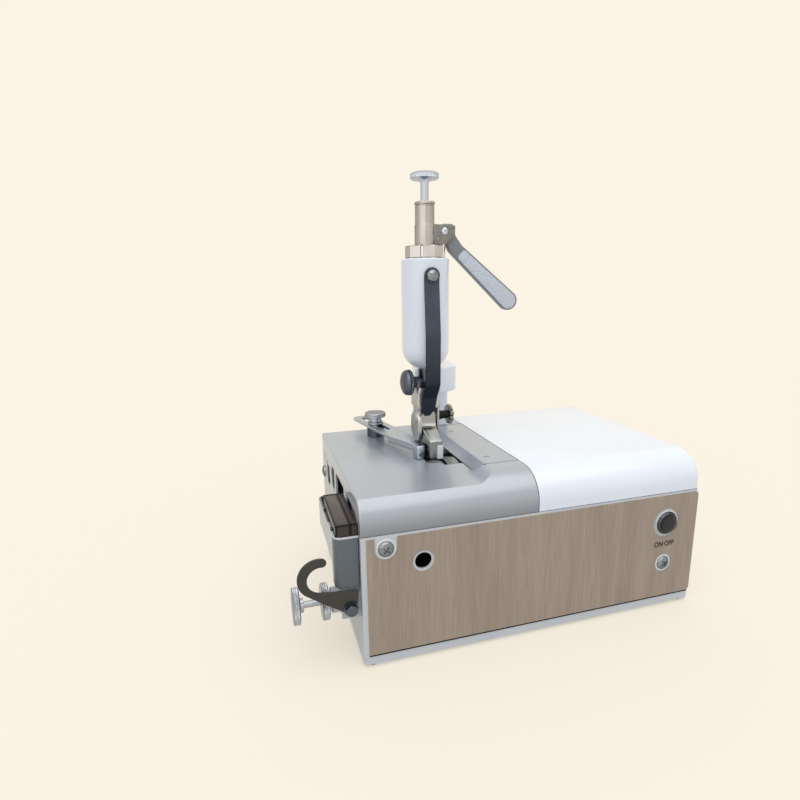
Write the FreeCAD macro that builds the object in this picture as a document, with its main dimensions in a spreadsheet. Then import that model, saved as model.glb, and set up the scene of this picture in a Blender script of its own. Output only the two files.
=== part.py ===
import FreeCAD, Part
import math
import os
import re
import Sketcher
from FreeCAD import Placement, Rotation, Vector

# Portable bell-knife leather splitting machine: a flat case with a casting table, a motor cover, a bell knife
# and feed roller inside, a presser head on a column, an edge guide, and a chip tray with its adjusters on the left.
# +X runs to the right along the front, +Y to the back, +Z up; Z is zero on the bench under the feet.
# Every size is a cell of the spreadsheet. Places along X, Y and Z are measured from the case's left side, its front
# and its underside, through across(), back() and up().

SIZES = (
    # name, millimetres or degrees, meaning
    ("left_face", -150.3, "case's left side, from the origin"),
    ("front_face", -118.6, "case's front, from the origin"),
    ("case_length", 360, "case, left to right"),
    ("case_depth", 230, "case, front to back"),
    ("case_height", 120, "case, underside to the seam with the table"),
    ("sheet_wall", 2, "sheet steel of the case"),
    ("case_corner", 4, "upright corners of the case"),
    ("seam", 0.4, "gap between neighbouring covers"),
    ("base_thick", 6, "base plate"),
    ("foot_height", 3, "rubber foot below the base plate"),
    ("foot_radius", 7, "rubber foot"),
    ("foot_stem_radius", 2.5, "stem of a foot, pushed into the base plate"),
    ("foot_inset", 9, "foot axis from the edges of the base plate"),
    ("panel_thick", 0.8, "laminate on the front"),
    ("panel_left", 5, "bare border of the front, left"),
    ("panel_right", 1.2, "bare border of the front, right"),
    ("panel_low", 4, "bare border of the front, below"),
    ("panel_high", 2.6, "bare border of the front, above"),
    # table, plate and motor cover
    ("nose_radius", 30, "rounded front of the table and the cover"),
    ("rear_round", 6, "rounded back edge of the table and the cover"),
    ("end_round", 5.5, "rounded right end of the cover"),
    ("cover_rise", 38, "cover top above the seam"),
    ("cover_wall", 3, "wall of the motor cover"),
    ("table_length", 172, "table casting, left to right"),
    ("table_drop", 7, "table flat below the cover top"),
    ("table_thick", 6, "table flat"),
    ("table_wall", 5, "skirt of the table casting"),
    ("skirt_front", 146, "lower edge of the left skirt at the front"),
    ("skirt_rear", 128, "lower edge of the left skirt at the back"),
    ("ramp_foot", 124, "foot of the ramp beside the knife, from the left"),
    ("ramp_run", 11, "ramp, foot to top"),
    ("plate_front", 42, "front of the knife plate"),
    ("plate_clear", 4, "back of the knife plate to the column"),
    ("plate_thick", 3, "knife plate"),
    ("plate_ledge", 6, "ledge of the casting under the knife plate"),
    ("slot_left", 89.5, "knife slot in the table, left side"),
    ("slot_front", 70, "knife slot in the table, front"),
    ("slot_rear", 121, "knife slot in the table, back"),
    ("slot_narrow", 13.5, "knife slot, narrower by this in front of the roller"),
    ("slot_widens", 9, "knife slot, front to where it widens"),
    ("slot_round", 7, "corner of the knife slot"),
    # bell knife and its drive
    ("knife_radius", 49, "bell knife, outside"),
    ("knife_wall", 2.5, "bell knife, wall"),
    ("knife_left", 109.5, "cutting rim"),
    ("knife_length", 58, "bell knife, rim to back"),
    ("knife_back", 89, "bell knife axis from the front"),
    ("knife_below", 0.6, "top of the bell below the table flat"),
    ("knife_disc", 8, "back disc of the bell"),
    ("shaft_radius", 10, "knife shaft"),
    ("shaft_nut", 5, "clamp nut on the shaft's end, inside the bell"),
    ("shaft_end", 318, "right end of the knife shaft"),
    ("bearing_radius", 21, "ball bearing, outside"),
    ("bearing_width", 12, "ball bearing"),
    ("running_gap", 0.05, "radial clearance of a shaft in a bore"),
    ("clearance", 0.4, "clearance between neighbouring pieces"),
    ("pedestal_left", 186, "left pedestal, left side"),
    ("pedestal_right", 276, "right pedestal, left side"),
    ("pedestal_width", 54, "pedestal, front to back"),
    ("pedestal_foot", 8, "foot of a pedestal"),
    ("pulley_left", 302, "drive belt pulleys, left side"),
    ("pulley_width", 11, "drive belt pulleys"),
    ("knife_pulley_radius", 30, "pulley on the knife shaft"),
    ("motor_pulley_radius", 14, "pulley on the motor shaft"),
    ("belt_thick", 2, "drive belt"),
    ("motor_radius", 34, "motor"),
    ("motor_left", 188, "motor, left end"),
    ("motor_length", 104, "motor"),
    ("motor_clear", 24, "motor to the back of the case"),
    ("motor_height", 46, "motor axis above the case's underside"),
    ("motor_shaft_radius", 5, "motor shaft"),
    ("cradle_width", 16, "one motor cradle, along the motor"),
    # feed roller and its drive
    ("roller_radius", 13, "stone feed roller"),
    ("roller_width", 16, "stone feed roller, front to back"),
    ("roller_left", 100.7, "roller axis from the left"),
    ("feed_shaft_radius", 4, "feed shaft"),
    ("feed_shaft_clear", 2, "back end of the feed shaft to the feed motor's front"),
    ("feed_pulley_radius", 5, "pulley on the feed shaft"),
    ("feed_belt_thick", 1.2, "feed belt"),
    ("belt_gap", 0.3, "belt clear of its pulleys"),
    ("feed_drive_radius", 12, "pulley on the feed motor"),
    ("feed_pulley_clear", 8, "feed pulleys to the feed motor"),
    ("feed_pulley_width", 8, "feed pulleys"),
    ("feed_motor_drop", 42, "feed motor axis below the feed shaft"),
    ("feed_motor_radius", 18, "feed gear motor"),
    ("feed_motor_clear", 6, "feed gear motor to the back wall"),
    ("feed_motor_length", 44, "feed gear motor"),
    ("bracket_clear", 30, "upright of the feed bracket to the feed motor"),
    ("bracket_thick", 10, "feed bracket"),
    ("bracket_width", 34, "feed bracket, left to right"),
    # grinding stone and its adjuster on the left
    ("stone_radius", 12, "grinding stone"),
    ("stone_width", 10, "grinding stone"),
    ("stone_pin_radius", 3, "spindle of the grinding stone"),
    ("carriage_left", 84, "stone carriage, left side"),
    ("carriage_length", 34, "stone carriage, along its screw"),
    ("carriage_high", 12, "stone carriage, top above the base"),
    ("screw_back", 24, "adjusting screw from the front"),
    ("screw_height", 51, "adjusting screw above the case's underside"),
    ("screw_radius", 3, "adjusting screw"),
    ("screw_inner_end", 100, "inner end of the adjusting screw"),
    ("knob_radius", 15.5, "knurled knobs on the left"),
    ("knob_width", 8.5, "knurled knobs on the left"),
    ("outer_knob_reach", 59.5, "outer face of the outer knob, left of the case"),
    ("lock_nut_reach", 33.5, "outer face of the lock nut, left of the case"),
    ("boss_reach", 24.6, "screw boss, left of the case"),
    ("boss_radius", 12.2, "screw boss"),
    # hook lever
    ("hook_front", 3, "hook lever, front face"),
    ("hook_thick", 4, "hook lever"),
    ("hook_pivot_reach", 9.5, "pivot of the hook lever, left of the case"),
    ("hook_pivot_height", 53, "pivot of the hook lever"),
    ("hook_eye_radius", 8.5, "eye of the hook lever"),
    ("hook_bow_reach", 36.6, "centre of the bow, left of the case"),
    ("hook_bow_height", 86.2, "centre of the bow"),
    ("hook_bow_radius", 18.7, "bow, outside"),
    ("hook_bow_width", 9.4, "bow, width of the steel"),
    ("hook_arm_high", 72.8, "upper edge of the arm under the bow"),
    ("hook_arm_low", 70.5, "lower edge of the arm under the bow"),
    ("hook_bolt_radius", 3, "pivot bolt"),
    ("hook_bolt_head", 5.6, "hexagon head, centre to corner"),
    ("bolt_head_high", 4, "hexagon head"),
    ("lug_height", 24, "tab that carries the hook lever"),
    ("lug_thick", 4, "tab that carries the hook lever"),
    # tray, shelf and chip guard
    ("tray_reach", 22, "tray, left of the case"),
    ("tray_front", 5, "tray, front"),
    ("tray_length", 99, "tray, front to back"),
    ("tray_low", 72, "tray, underside"),
    ("tray_high", 120, "tray, rim"),
    ("tray_wall", 1.6, "tray, wall"),
    ("tray_inner_high", 84, "low wall of the tray, beside the case"),
    ("tray_corner", 7, "upright corners of the tray"),
    ("shelf_reach", 43, "shelf, left of the case"),
    ("shelf_front", 14, "shelf, front"),
    ("shelf_thick", 2.5, "shelf"),
    ("guard_length", 84, "chip guard, front to back"),
    ("guard_high", 131, "chip guard, top"),
    ("guard_low", 106, "chip guard, lower edge"),
    ("guard_wall", 2.4, "chip guard, wall"),
    # end plate openings
    ("window_front", 14, "chip window in the end plate, front"),
    ("window_rear", 128, "chip window in the end plate, back"),
    ("window_low", 86, "chip window in the end plate, lower edge"),
    ("window_high", 136, "chip window in the end plate, upper edge"),
    ("window_round", 10, "corners of the chip window"),
    ("vent_length", 28, "slanted vent"),
    ("vent_width", 6, "slanted vent"),
    ("vent_slant", 45, "slope of a vent, degrees"),
    ("vent_height", 117, "centre of a vent"),
    ("vent_first", 184, "centre of the rear vent"),
    ("vent_pitch", 33, "from one vent to the next"),
    # front fittings
    ("button_right", 39, "push button from the right end of the case"),
    ("button_height", 87.5, "push button above the case's underside"),
    ("button_hole", 11, "hole for the switch"),
    ("bezel_radius", 13.4, "bezel of the switch"),
    ("bezel_depth", 5.5, "bezel of the switch, in front of the case"),
    ("button_radius", 8.2, "button"),
    ("button_travel", 3, "button"),
    ("button_proud", 1.4, "button in front of its bezel"),
    ("switch_length", 30, "switch body behind the front"),
    ("panel_ring", 15.4, "hole in the laminate around the switch"),
    ("screw_ring", 10.2, "hole in the laminate around a screw or the access hole"),
    ("pan_head_radius", 7.2, "pan head screws"),
    ("pan_head_high", 3.4, "pan head screws"),
    ("pan_shank_radius", 2.5, "pan head screws"),
    ("pan_shank_length", 9, "pan head screws"),
    ("left_screw_across", 22.5, "front screw, left"),
    ("left_screw_height", 106.6, "front screw, left"),
    ("right_screw_inset", 38.5, "front screw, from the right end of the case"),
    ("right_screw_height", 42, "front screw, right"),
    ("access_across", 57, "access hole in the front"),
    ("access_height", 89.7, "access hole in the front"),
    ("access_radius", 8, "access hole in the front"),
    ("inlet_right", 60, "left side of the power inlet from the right end of the case"),
    ("inlet_height", 40, "power inlet in the back wall"),
    ("inlet_width", 28, "power inlet"),
    ("inlet_high", 20, "power inlet"),
    # presser head
    ("head_left", 99, "presser axis from the left"),
    ("head_back", 115, "presser axis from the front"),
    ("head_radius", 24.5, "head cylinder"),
    ("head_low", 244, "underside of the head cylinder"),
    ("head_high", 357, "top of the head cylinder"),
    ("head_round", 20, "rounded underside of the head cylinder"),
    ("column_left", 118, "column, left side"),
    ("column_right", 157, "column, right side"),
    ("column_depth", 30, "column, front to back"),
    ("column_clear", 4, "column to the back of the case"),
    ("arm_low", 212, "arm, underside"),
    ("arm_high", 241, "arm, top of the block on the right"),
    ("rib_high", 292, "rib behind the head cylinder, top"),
    ("arm_front", 134, "arm, front end"),
    ("collar_radius", 21, "collar nut"),
    ("collar_high", 12.5, "collar nut"),
    ("sleeve_radius", 9.8, "top sleeve"),
    ("sleeve_high", 42, "top sleeve above the collar nut"),
    ("rod_radius", 4.4, "adjusting rod"),
    ("rod_proud", 21, "adjusting rod, sleeve to disc"),
    ("disc_radius", 14.2, "disc of the adjusting rod"),
    ("disc_high", 6, "disc of the adjusting rod"),
    ("bar_radius", 8, "presser bar"),
    ("bar_low", 206, "underside of the presser bar"),
    ("bar_high", 322, "top of the presser bar"),
    ("spring_radius", 11, "presser spring, outside"),
    ("spring_wire", 1.6, "presser spring, wire"),
    ("spring_coils", 5, "presser spring"),
    ("presser_lift", 7, "lift of the presser bar"),
    ("rod_hold", 34, "adjusting rod inside the presser bar"),
    ("rod_play", 2, "bore of the presser bar below the rod"),
    ("collar_rib_low", 308, "shoulder of the presser bar under its spring"),
    ("bar_shoulder", 3, "shoulder of the presser bar under its spring, height"),
    # lift lever
    ("pivot_across", 117.5, "lever pivot from the left"),
    ("pivot_height", 26.5, "lever pivot above the head cylinder"),
    ("pivot_pin_radius", 2.5, "lever pin"),
    ("lever_droop", 42.7, "lever below the horizontal, degrees"),
    ("lever_length", 111, "lever, pivot to tip"),
    ("lever_thick", 8, "lever"),
    ("lever_head", 11, "lever, eye around the pivot"),
    ("ear_thick", 3.4, "ears of the lever bracket"),
    ("ear_low", 14, "ears of the lever bracket, lower edge above the head cylinder"),
    ("ear_high", 34.5, "ears of the lever bracket, upper edge above the head cylinder"),
    ("ear_right", 125.5, "ears of the lever bracket, right edge"),
    # presser foot
    ("holder_left", 86, "foot holder, left side"),
    ("holder_right", 111, "foot holder, right side"),
    ("holder_front", 101, "foot holder, front"),
    ("holder_rear", 128, "foot holder, back"),
    ("holder_low", 204, "foot holder, underside of its block"),
    ("holder_high", 234, "foot holder, top"),
    ("cheek_thick", 4, "left cheek of the foot holder"),
    ("cheek_low", 167, "lower end of the cheeks"),
    ("cheek_radius", 13, "rounded lower end of the left cheek"),
    ("side_plate_thick", 2, "right cheek of the foot holder"),
    ("pin_height", 193, "foot pin"),
    ("pin_back", 113, "foot pin from the front"),
    ("foot_pin_radius", 3, "foot pin"),
    ("foot_hub_radius", 8, "hub of the presser foot"),
    ("foot_width", 11.6, "presser foot"),
    ("foot_right", 108.2, "presser foot, right side"),
    ("foot_nose_front", 88, "presser foot, front of its nose"),
    ("foot_nose_high", 172, "presser foot, top of its nose"),
    ("foot_heel", 107, "presser foot, back of its sole"),
    ("foot_gap", 1.2, "sole above the table flat"),
    ("insert_thick", 2, "white wear block on the nose"),
    ("insert_width", 6.2, "white wear block on the nose"),
    ("insert_high", 14.5, "white wear block on the nose"),
    ("tilt_knob_radius", 13.5, "knob on the foot holder"),
    ("tilt_knob_width", 9, "knob on the foot holder"),
    ("tilt_knob_left", 70, "knob on the foot holder, left face"),
    ("tilt_knob_drop", 12.5, "axis of the knob on the foot holder, below the head cylinder"),
    ("tilt_knob_back", 110, "knob on the foot holder"),
    ("thumb_disc_left", 122.5, "thumb screw right of the foot, disc"),
    ("thumb_disc_radius", 10.8, "thumb screw right of the foot, disc"),
    ("thumb_disc_width", 4.6, "thumb screw right of the foot, disc"),
    # leaf spring strap
    ("strap_across", 97.3, "strap, middle"),
    ("strap_width", 15.6, "strap"),
    ("strap_thick", 1.6, "strap"),
    ("strap_high", 349, "strap, top"),
    ("strap_bend", 258, "strap, bend"),
    ("strap_fold", 219, "strap, fold"),
    ("strap_step", 212, "strap, step"),
    ("strap_low", 197, "strap, lower end"),
    ("strap_lean", 7, "strap leans back from bend to fold"),
    ("strap_return", 2, "front of the strap's lower end behind its front above"),
    ("stud_height", 340, "stud of the strap"),
    ("stud_radius", 7.2, "stud of the strap, head"),
    ("stud_head", 6, "stud of the strap, head"),
    ("stud_shank", 4, "stud of the strap, shank"),
    # edge guide
    ("guide_turn", 13, "slant of the guide, degrees"),
    ("guide_screw_across", 62.5, "guide thumb screw from the left"),
    ("guide_screw_back", 200, "guide thumb screw from the front"),
    ("guide_rise", 12, "underside of the guide bar above the table flat"),
    ("guide_thick", 3, "guide bar"),
    ("guide_width", 25, "guide bar"),
    ("guide_rear", 44, "guide bar, screw to back end"),
    ("guide_front", 62, "guide bar, screw to front end"),
    ("guide_slope", 8, "front end of the guide bar, left end behind right end"),
    ("guide_round", 8, "rear corners of the guide bar"),
    ("web_high", 5, "web under the arm of the guide"),
    ("guide_slot_width", 8, "slot of the guide bar"),
    ("guide_slot_reach", 34, "slot of the guide bar, each way"),
    ("guide_neck", 11, "arm of the guide, width at the block"),
    ("guide_block_width", 12.5, "guide block"),
    ("guide_block_length", 11, "guide block"),
    ("guide_block_reach", 109, "guide block, screw to its front face"),
    ("guide_block_shift", 1.5, "guide block, right of the slot's line"),
    ("guide_head_radius", 12.6, "guide thumb screw, head"),
    ("guide_head_high", 5.5, "guide thumb screw, head"),
    ("guide_neck_high", 5, "guide thumb screw, neck"),
    ("guide_neck_radius", 8, "guide thumb screw, neck"),
    ("guide_shank_radius", 3.5, "guide thumb screw, shank"),
)


class Size:
    """A length with its name: sums and products of sizes keep both the number and the sheet's formula."""

    def __init__(self, text, number):
        self.text = text
        self.number = number

    def combined(self, sign, other, number, swapped=False):
        other_text = other.text if isinstance(other, Size) else repr(other)
        first, second = (other_text, self.text) if swapped else (self.text, other_text)
        return Size(f"({first} {sign} {second})", number)

    def __add__(self, other):
        return self.combined("+", other, self.number + amount(other))

    def __radd__(self, other):
        return self.combined("+", other, amount(other) + self.number, swapped=True)

    def __sub__(self, other):
        return self.combined("-", other, self.number - amount(other))

    def __rsub__(self, other):
        return self.combined("-", other, amount(other) - self.number, swapped=True)

    def __mul__(self, other):
        return self.combined("*", other, self.number * amount(other))

    def __rmul__(self, other):
        return self.combined("*", other, amount(other) * self.number, swapped=True)

    def __truediv__(self, other):
        return self.combined("/", other, self.number / amount(other))

    def __neg__(self):
        return Size(f"(0 - {self.text})", -self.number)


def amount(value):
    return value.number if isinstance(value, Size) else value


def triple(values):
    return Vector(*(amount(value) for value in values))


doc = FreeCAD.newDocument("splitting_machine")
sheet = doc.addObject("Spreadsheet::Sheet", "Sizes")


class Sizes:
    """The sheet's cells by name."""


size = Sizes()
for row, (name, number, meaning) in enumerate(SIZES, start=1):
    sheet.set(f"A{row}", name)
    sheet.set(f"B{row}", str(number))
    sheet.set(f"C{row}", meaning)
    sheet.setAlias(f"B{row}", name)
    setattr(size, name, Size(f"Sizes.{name}", number))
doc.recompute()

AXES = {"X": Vector(1, 0, 0), "Y": Vector(0, 1, 0), "Z": Vector(0, 0, 1)}
UPRIGHT_TO = {"Z": Rotation(), "X": Rotation(AXES["Y"], 90), "Y": Rotation(AXES["X"], -90)}
PLANE_AXES = {"XY": (0, 1), "XZ": (0, 2), "YZ": (1, 2)}
NEAR = 1e-4
ALL_ROUND = 360
kept = []


def across(distance):
    return size.left_face + distance


def back(distance):
    return size.front_face + distance


def up(distance):
    return size.foot_height + size.base_thick + distance


def bind(thing, prop, value):
    """Tie a property to the sheet, or set a bare number."""
    if isinstance(value, Size):
        thing.setExpression(prop, value.text)
    else:
        setattr(thing, prop, value)


def put(thing, place, rotation=None):
    """Place an object, with each coordinate tied to the sheet."""
    thing.Placement = Placement(triple(place), rotation or Rotation())
    for letter, value in zip("xyz", place):
        if isinstance(value, Size):
            thing.setExpression(f".Placement.Base.{letter}", value.text)
    return thing


def keep(node, thing):
    """Name a finished sub-part."""
    thing.Label = node
    kept.append(thing)
    return thing


def box(name, low, lengths):
    thing = doc.addObject("Part::Box", name)
    for prop, value in zip(("Length", "Width", "Height"), lengths):
        bind(thing, prop, value)
    return put(thing, low)


def cylinder(name, radius, length, place, along="Z"):
    thing = doc.addObject("Part::Cylinder", name)
    bind(thing, "Radius", radius)
    bind(thing, "Height", length)
    return put(thing, place, UPRIGHT_TO[along])


def cone(name, low_radius, high_radius, length, place, along="Z"):
    thing = doc.addObject("Part::Cone", name)
    bind(thing, "Radius1", low_radius)
    bind(thing, "Radius2", high_radius)
    bind(thing, "Height", length)
    return put(thing, place, UPRIGHT_TO[along])


def fuse(name, *shapes):
    thing = doc.addObject("Part::MultiFuse", name)
    thing.Shapes = list(shapes)
    thing.Refine = True
    return thing


def cut(name, base, *tools):
    thing = doc.addObject("Part::Cut", name)
    thing.Base = base
    thing.Tool = tools[0] if len(tools) == 1 else fuse(name + "_tools", *tools)
    thing.Refine = True
    return thing


def group(name, *shapes):
    """Separate solids that share a node."""
    thing = doc.addObject("Part::Compound", name)
    thing.Links = list(shapes)
    return thing


def new_body(name, plane):
    """An empty body, its sketch on one of its own planes."""
    body = doc.addObject("PartDesign::Body", name)
    sketch = body.newObject("Sketcher::SketchObject", name + "_sketch")
    support = [flat for flat in body.Origin.OriginFeatures if flat.Role == plane + "_Plane"][0]
    sketch.AttachmentSupport = [(support, "")]
    sketch.MapMode = "FlatFace"
    return body, sketch


def draw(sketch, outline):
    """A closed outline whose corners are tied to the sheet."""
    count = len(outline)
    corners = [Vector(amount(u), amount(v), 0) for u, v in outline]
    for index in range(count):
        sketch.addGeometry(Part.LineSegment(corners[index], corners[(index + 1) % count]))
    for index in range(count):
        sketch.addConstraint(Sketcher.Constraint("Coincident", index, 2, (index + 1) % count, 1))
    for index, corner in enumerate(outline):
        for kind, value in zip(("DistanceX", "DistanceY"), corner):
            number = sketch.addConstraint(Sketcher.Constraint(kind, -1, 1, index, 1, float(amount(value))))
            if isinstance(value, Size):
                sketch.setExpression(f"Constraints[{number}]", value.text)


def edges_at_corner(shape, plane, corner):
    """Names of the edges that run through one corner of the outline, along the pad."""
    first, second = PLANE_AXES[plane]
    wanted = amount(corner[0]), amount(corner[1])
    names = []
    for number, edge in enumerate(shape.Edges, start=1):
        ends = [vertex.Point for vertex in edge.Vertexes]
        if len(ends) == 2 and all(
            abs(end[first] - wanted[0]) < NEAR and abs(end[second] - wanted[1]) < NEAR for end in ends
        ):
            names.append(f"Edge{number}")
    return names


def rounded(body, name, edge_names, radius):
    """A fillet on named edges of the body's tip."""
    tip = body.Tip
    fillet = body.newObject("PartDesign::Fillet", name)
    fillet.Base = (tip, edge_names)
    bind(fillet, "Radius", radius)
    doc.recompute()
    return fillet


def padded(name, plane, outline, start, depth, rounds=()):
    """A plate: an outline on a plane, padded from `start` towards the plane's own positive axis.

    rounds lists (corner numbers, radius): those corners of the outline are filleted."""
    body, sketch = new_body(name, plane)
    draw(sketch, outline)
    pad = body.newObject("PartDesign::Pad", name + "_pad")
    pad.Profile = sketch
    pad.Reversed = plane == "XZ"
    bind(pad, "Length", depth)
    doc.recompute()
    for step, (corner_numbers, radius) in enumerate(rounds):
        names = []
        for corner_number in corner_numbers:
            names += edges_at_corner(body.Shape, plane, outline[corner_number])
        rounded(body, f"{name}_round{step}", names, radius)
    normal = {"XY": "Z", "XZ": "Y", "YZ": "X"}[plane]
    return put(body, [start if letter == normal else 0 for letter in "XYZ"])


def turned(name, profile, place, along="Z"):
    """A turned piece: its half profile (radius, height) revolved, then laid along an axis."""
    body, sketch = new_body(name, "XZ")
    draw(sketch, profile)
    revolution = body.newObject("PartDesign::Revolution", name + "_turn")
    revolution.Profile = sketch
    revolution.ReferenceAxis = (sketch, ["V_Axis"])
    revolution.Angle = ALL_ROUND
    return put(body, place, UPRIGHT_TO[along])


def ring(name, outer, inner, length, place, along="Z"):
    """A plain ring."""
    profile = [(inner, 0), (outer, 0), (outer, length), (inner, length)]
    return turned(name, profile, place, along)


def rectangle(left, low, right, high):
    return [(left, low), (right, low), (right, high), (left, high)]


def with_shape(name, shape):
    """A feature whose shape is made from the sheet's numbers."""
    thing = doc.addObject("Part::Feature", name)
    thing.Shape = shape
    return thing


# Levels and axes that several pieces share
seam_level = size.case_height
cover_top = size.case_height + size.cover_rise
table_level = cover_top - size.table_drop
knife_height = table_level - size.knife_below - size.knife_radius
feed_height = table_level - size.knife_below - size.roller_radius
feed_motor_height = feed_height - size.feed_motor_drop
collar_top = size.head_high + size.collar_high
sleeve_top = collar_top + size.sleeve_high
pivot_level = size.head_high + size.pivot_height
ears_bottom = size.head_high + size.ear_low
ears_top = size.head_high + size.ear_high
disc_low = sleeve_top + size.rod_proud
guide_low = table_level + size.guide_rise
button_across = size.case_length - size.button_right
right_screw_across = size.case_length - size.right_screw_inset
inlet_left = size.case_length - size.inlet_right
column_rear = size.case_depth - size.column_clear
column_front = column_rear - size.column_depth
plate_rear = column_front - size.plate_clear
motor_back = size.case_depth - size.motor_clear - size.motor_radius
feed_motor_front = size.case_depth - size.sheet_wall - size.feed_motor_clear - size.feed_motor_length
feed_shaft_rear = feed_motor_front - size.feed_shaft_clear
feed_pulley_front = feed_motor_front - size.feed_pulley_clear - size.feed_pulley_width
bracket_front = feed_motor_front - size.bracket_clear - size.bracket_thick
tilt_knob_height = size.head_low - size.tilt_knob_drop
screw_bore = size.screw_radius + size.running_gap


def base_plate():
    outline = rectangle(
        across(0), back(0), across(size.case_length), back(size.case_depth)
    )
    plate = padded(
        "plate_blank", "XY", outline, size.foot_height, size.base_thick,
        [((0, 1, 2, 3), size.case_corner)]
    )
    holes = [
        cylinder(f"foot_hole{number}", size.foot_stem_radius, size.base_thick, (x, y, size.foot_height))
        for number, (x, y) in enumerate(foot_places())
    ]
    keep("base_plate", cut("plate_drilled", plate, *holes))


def foot_places():
    far_x = size.case_length - size.foot_inset
    far_y = size.case_depth - size.foot_inset
    return [
        (across(x), back(y)) for x in (size.foot_inset, far_x) for y in (size.foot_inset, far_y)
    ]


def rubber_feet():
    top = size.foot_height + size.base_thick
    profile = [
        (0, 0), (size.foot_radius - 1, 0), (size.foot_radius, 1), (size.foot_radius, size.foot_height),
        (size.foot_stem_radius, size.foot_height), (size.foot_stem_radius, top), (0, top),
    ]
    feet = [turned(f"foot{number}", profile, (x, y, 0)) for number, (x, y) in enumerate(foot_places())]
    keep("rubber_feet", group("feet", *feet))


def front_holes():
    """Holes through the front wall: switch, access hole and two screws."""
    depth = 3 * size.sheet_wall
    start = back(-size.sheet_wall)
    places = (
        ("switch", size.button_hole, button_across, size.button_height),
        ("access", size.access_radius, size.access_across, size.access_height),
        ("left_screw", size.pan_shank_radius, size.left_screw_across, size.left_screw_height),
        ("right_screw", size.pan_shank_radius, right_screw_across, size.right_screw_height),
    )
    return [
        cylinder(f"{name}_hole", radius, depth, (across(x), start, up(z)), "Y") for name, radius, x,
        z in places
    ]


def case_shell():
    """Front, right and back walls bent from one sheet; the left end is closed by the end plate."""
    length, depth, wall = size.case_length, size.case_depth, size.sheet_wall
    outline = [
        (across(0), back(0)), (across(length), back(0)), (across(length), back(depth)),
        (across(0), back(depth)),
        (across(0), back(depth - wall)), (across(length - wall), back(depth - wall)),
        (across(length - wall), back(wall)), (across(0), back(wall)),
    ]
    shell = padded(
        "case_blank", "XY", outline, up(0), size.case_height - size.seam,
        [((1, 2), size.case_corner), ((5, 6), size.case_corner - wall)],
    )
    inlet = box(
        "inlet_hole", (across(inlet_left), back(depth - 2 * wall), up(size.inlet_height)),
        (size.inlet_width, 3 * wall, size.inlet_high),
    )
    keep("case_shell", cut("case_pierced", shell, inlet, *front_holes()))


def wood_panel():
    """Laminate on the front wall, cut back around the switch, the access hole and the screws."""
    outline = rectangle(
        across(size.panel_left), up(size.panel_low),
        across(size.case_length - size.panel_right), up(size.case_height - size.panel_high),
    )
    sheet_piece = padded(
        "laminate_blank", "XZ", outline, back(-size.panel_thick), size.panel_thick,
        [((1, 2), size.case_corner)]
    )
    places = (
        ("switch", size.panel_ring, button_across, size.button_height),
        ("access", size.screw_ring, size.access_across, size.access_height),
        ("left_screw", size.screw_ring, size.left_screw_across, size.left_screw_height),
        ("right_screw", size.screw_ring, right_screw_across, size.right_screw_height),
    )
    start = back(-2 * size.panel_thick)
    depth = 3 * size.panel_thick
    rings = [
        cylinder(f"{name}_ring", radius, depth, (across(x), start, up(z)), "Y") for name, radius, x,
        z in places
    ]
    notch = box(
        "screw_notch",
        (across(size.left_screw_across - size.screw_ring), start, up(size.left_screw_height)),
        (2 * size.screw_ring, depth, size.case_height - size.left_screw_height),
    )
    keep("wood_panel", cut("laminate_pierced", sheet_piece, notch, *rings))


def skirt_level(distance):
    """Height of the left skirt's slanting lower edge at a distance from the front."""
    slope = (size.skirt_front - size.skirt_rear) / size.case_depth
    return size.skirt_front - slope * distance


def end_plate():
    """The left end: a sheet with the chip window, slanted vents and the hole for the adjusting screw."""
    inside = size.sheet_wall + size.seam / 2
    tucked = size.table_wall + size.seam
    nose_tuck = tucked + 7
    shoulder = seam_level - size.seam
    outline = [
        (back(inside), up(0)), (back(size.case_depth - inside), up(0)),
        (back(size.case_depth - inside), up(shoulder)), (back(size.case_depth - tucked), up(shoulder)),
        (back(size.case_depth - tucked), up(skirt_level(size.case_depth - tucked) - size.seam)),
        (back(nose_tuck), up(table_level - size.table_thick - size.seam)),
        (back(tucked), up(seam_level + 8)), (back(tucked), up(shoulder)), (back(inside), up(shoulder)),
    ]
    blank = padded("end_blank", "YZ", outline, across(0), size.sheet_wall)
    depth = 3 * size.sheet_wall
    start = across(-size.sheet_wall)
    window = padded(
        "window", "YZ",
        rectangle(back(size.window_front), up(size.window_low), back(size.window_rear), up(size.window_high)),
        start, depth, [((0, 1, 2, 3), size.window_round)],
    )
    half = (size.vent_length - size.vent_width) / 2
    vents = []
    for number in range(2):
        middle = (start, back(size.vent_first - number * size.vent_pitch), up(size.vent_height))
        slot = padded(
            f"vent{number}", "YZ",
            rectangle(
                -half - size.vent_width / 2, -size.vent_width / 2, half + size.vent_width / 2,
                size.vent_width / 2
            ),
            0, depth, [((0, 1, 2, 3), size.vent_width * 0.48)],
        )
        vents.append(put(slot, middle, Rotation(AXES["X"], amount(size.vent_slant))))
    screw = cylinder(
        "screw_way", size.screw_radius + size.clearance, depth,
        (start, back(size.screw_back), up(size.screw_height)), "X"
    )
    holes = [
        cylinder(f"end_screw_hole{number}", size.pan_shank_radius, depth, (start, back(y), up(z)), "X")
        for number, (y, z) in enumerate(end_screw_places())
    ]
    lug, lug_hole = hook_lug()
    keep(
        "left_end_plate",
        cut("end_pierced", fuse("end_solid", blank, lug), window, screw, lug_hole, *vents, *holes)
    )


def end_screw_places():
    rear = size.case_depth - size.foot_inset - size.pan_head_radius / 2
    return [(rear, seam_level - 2 * size.pan_head_radius), (rear, size.foot_inset + 2 * size.pan_head_radius)]


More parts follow.
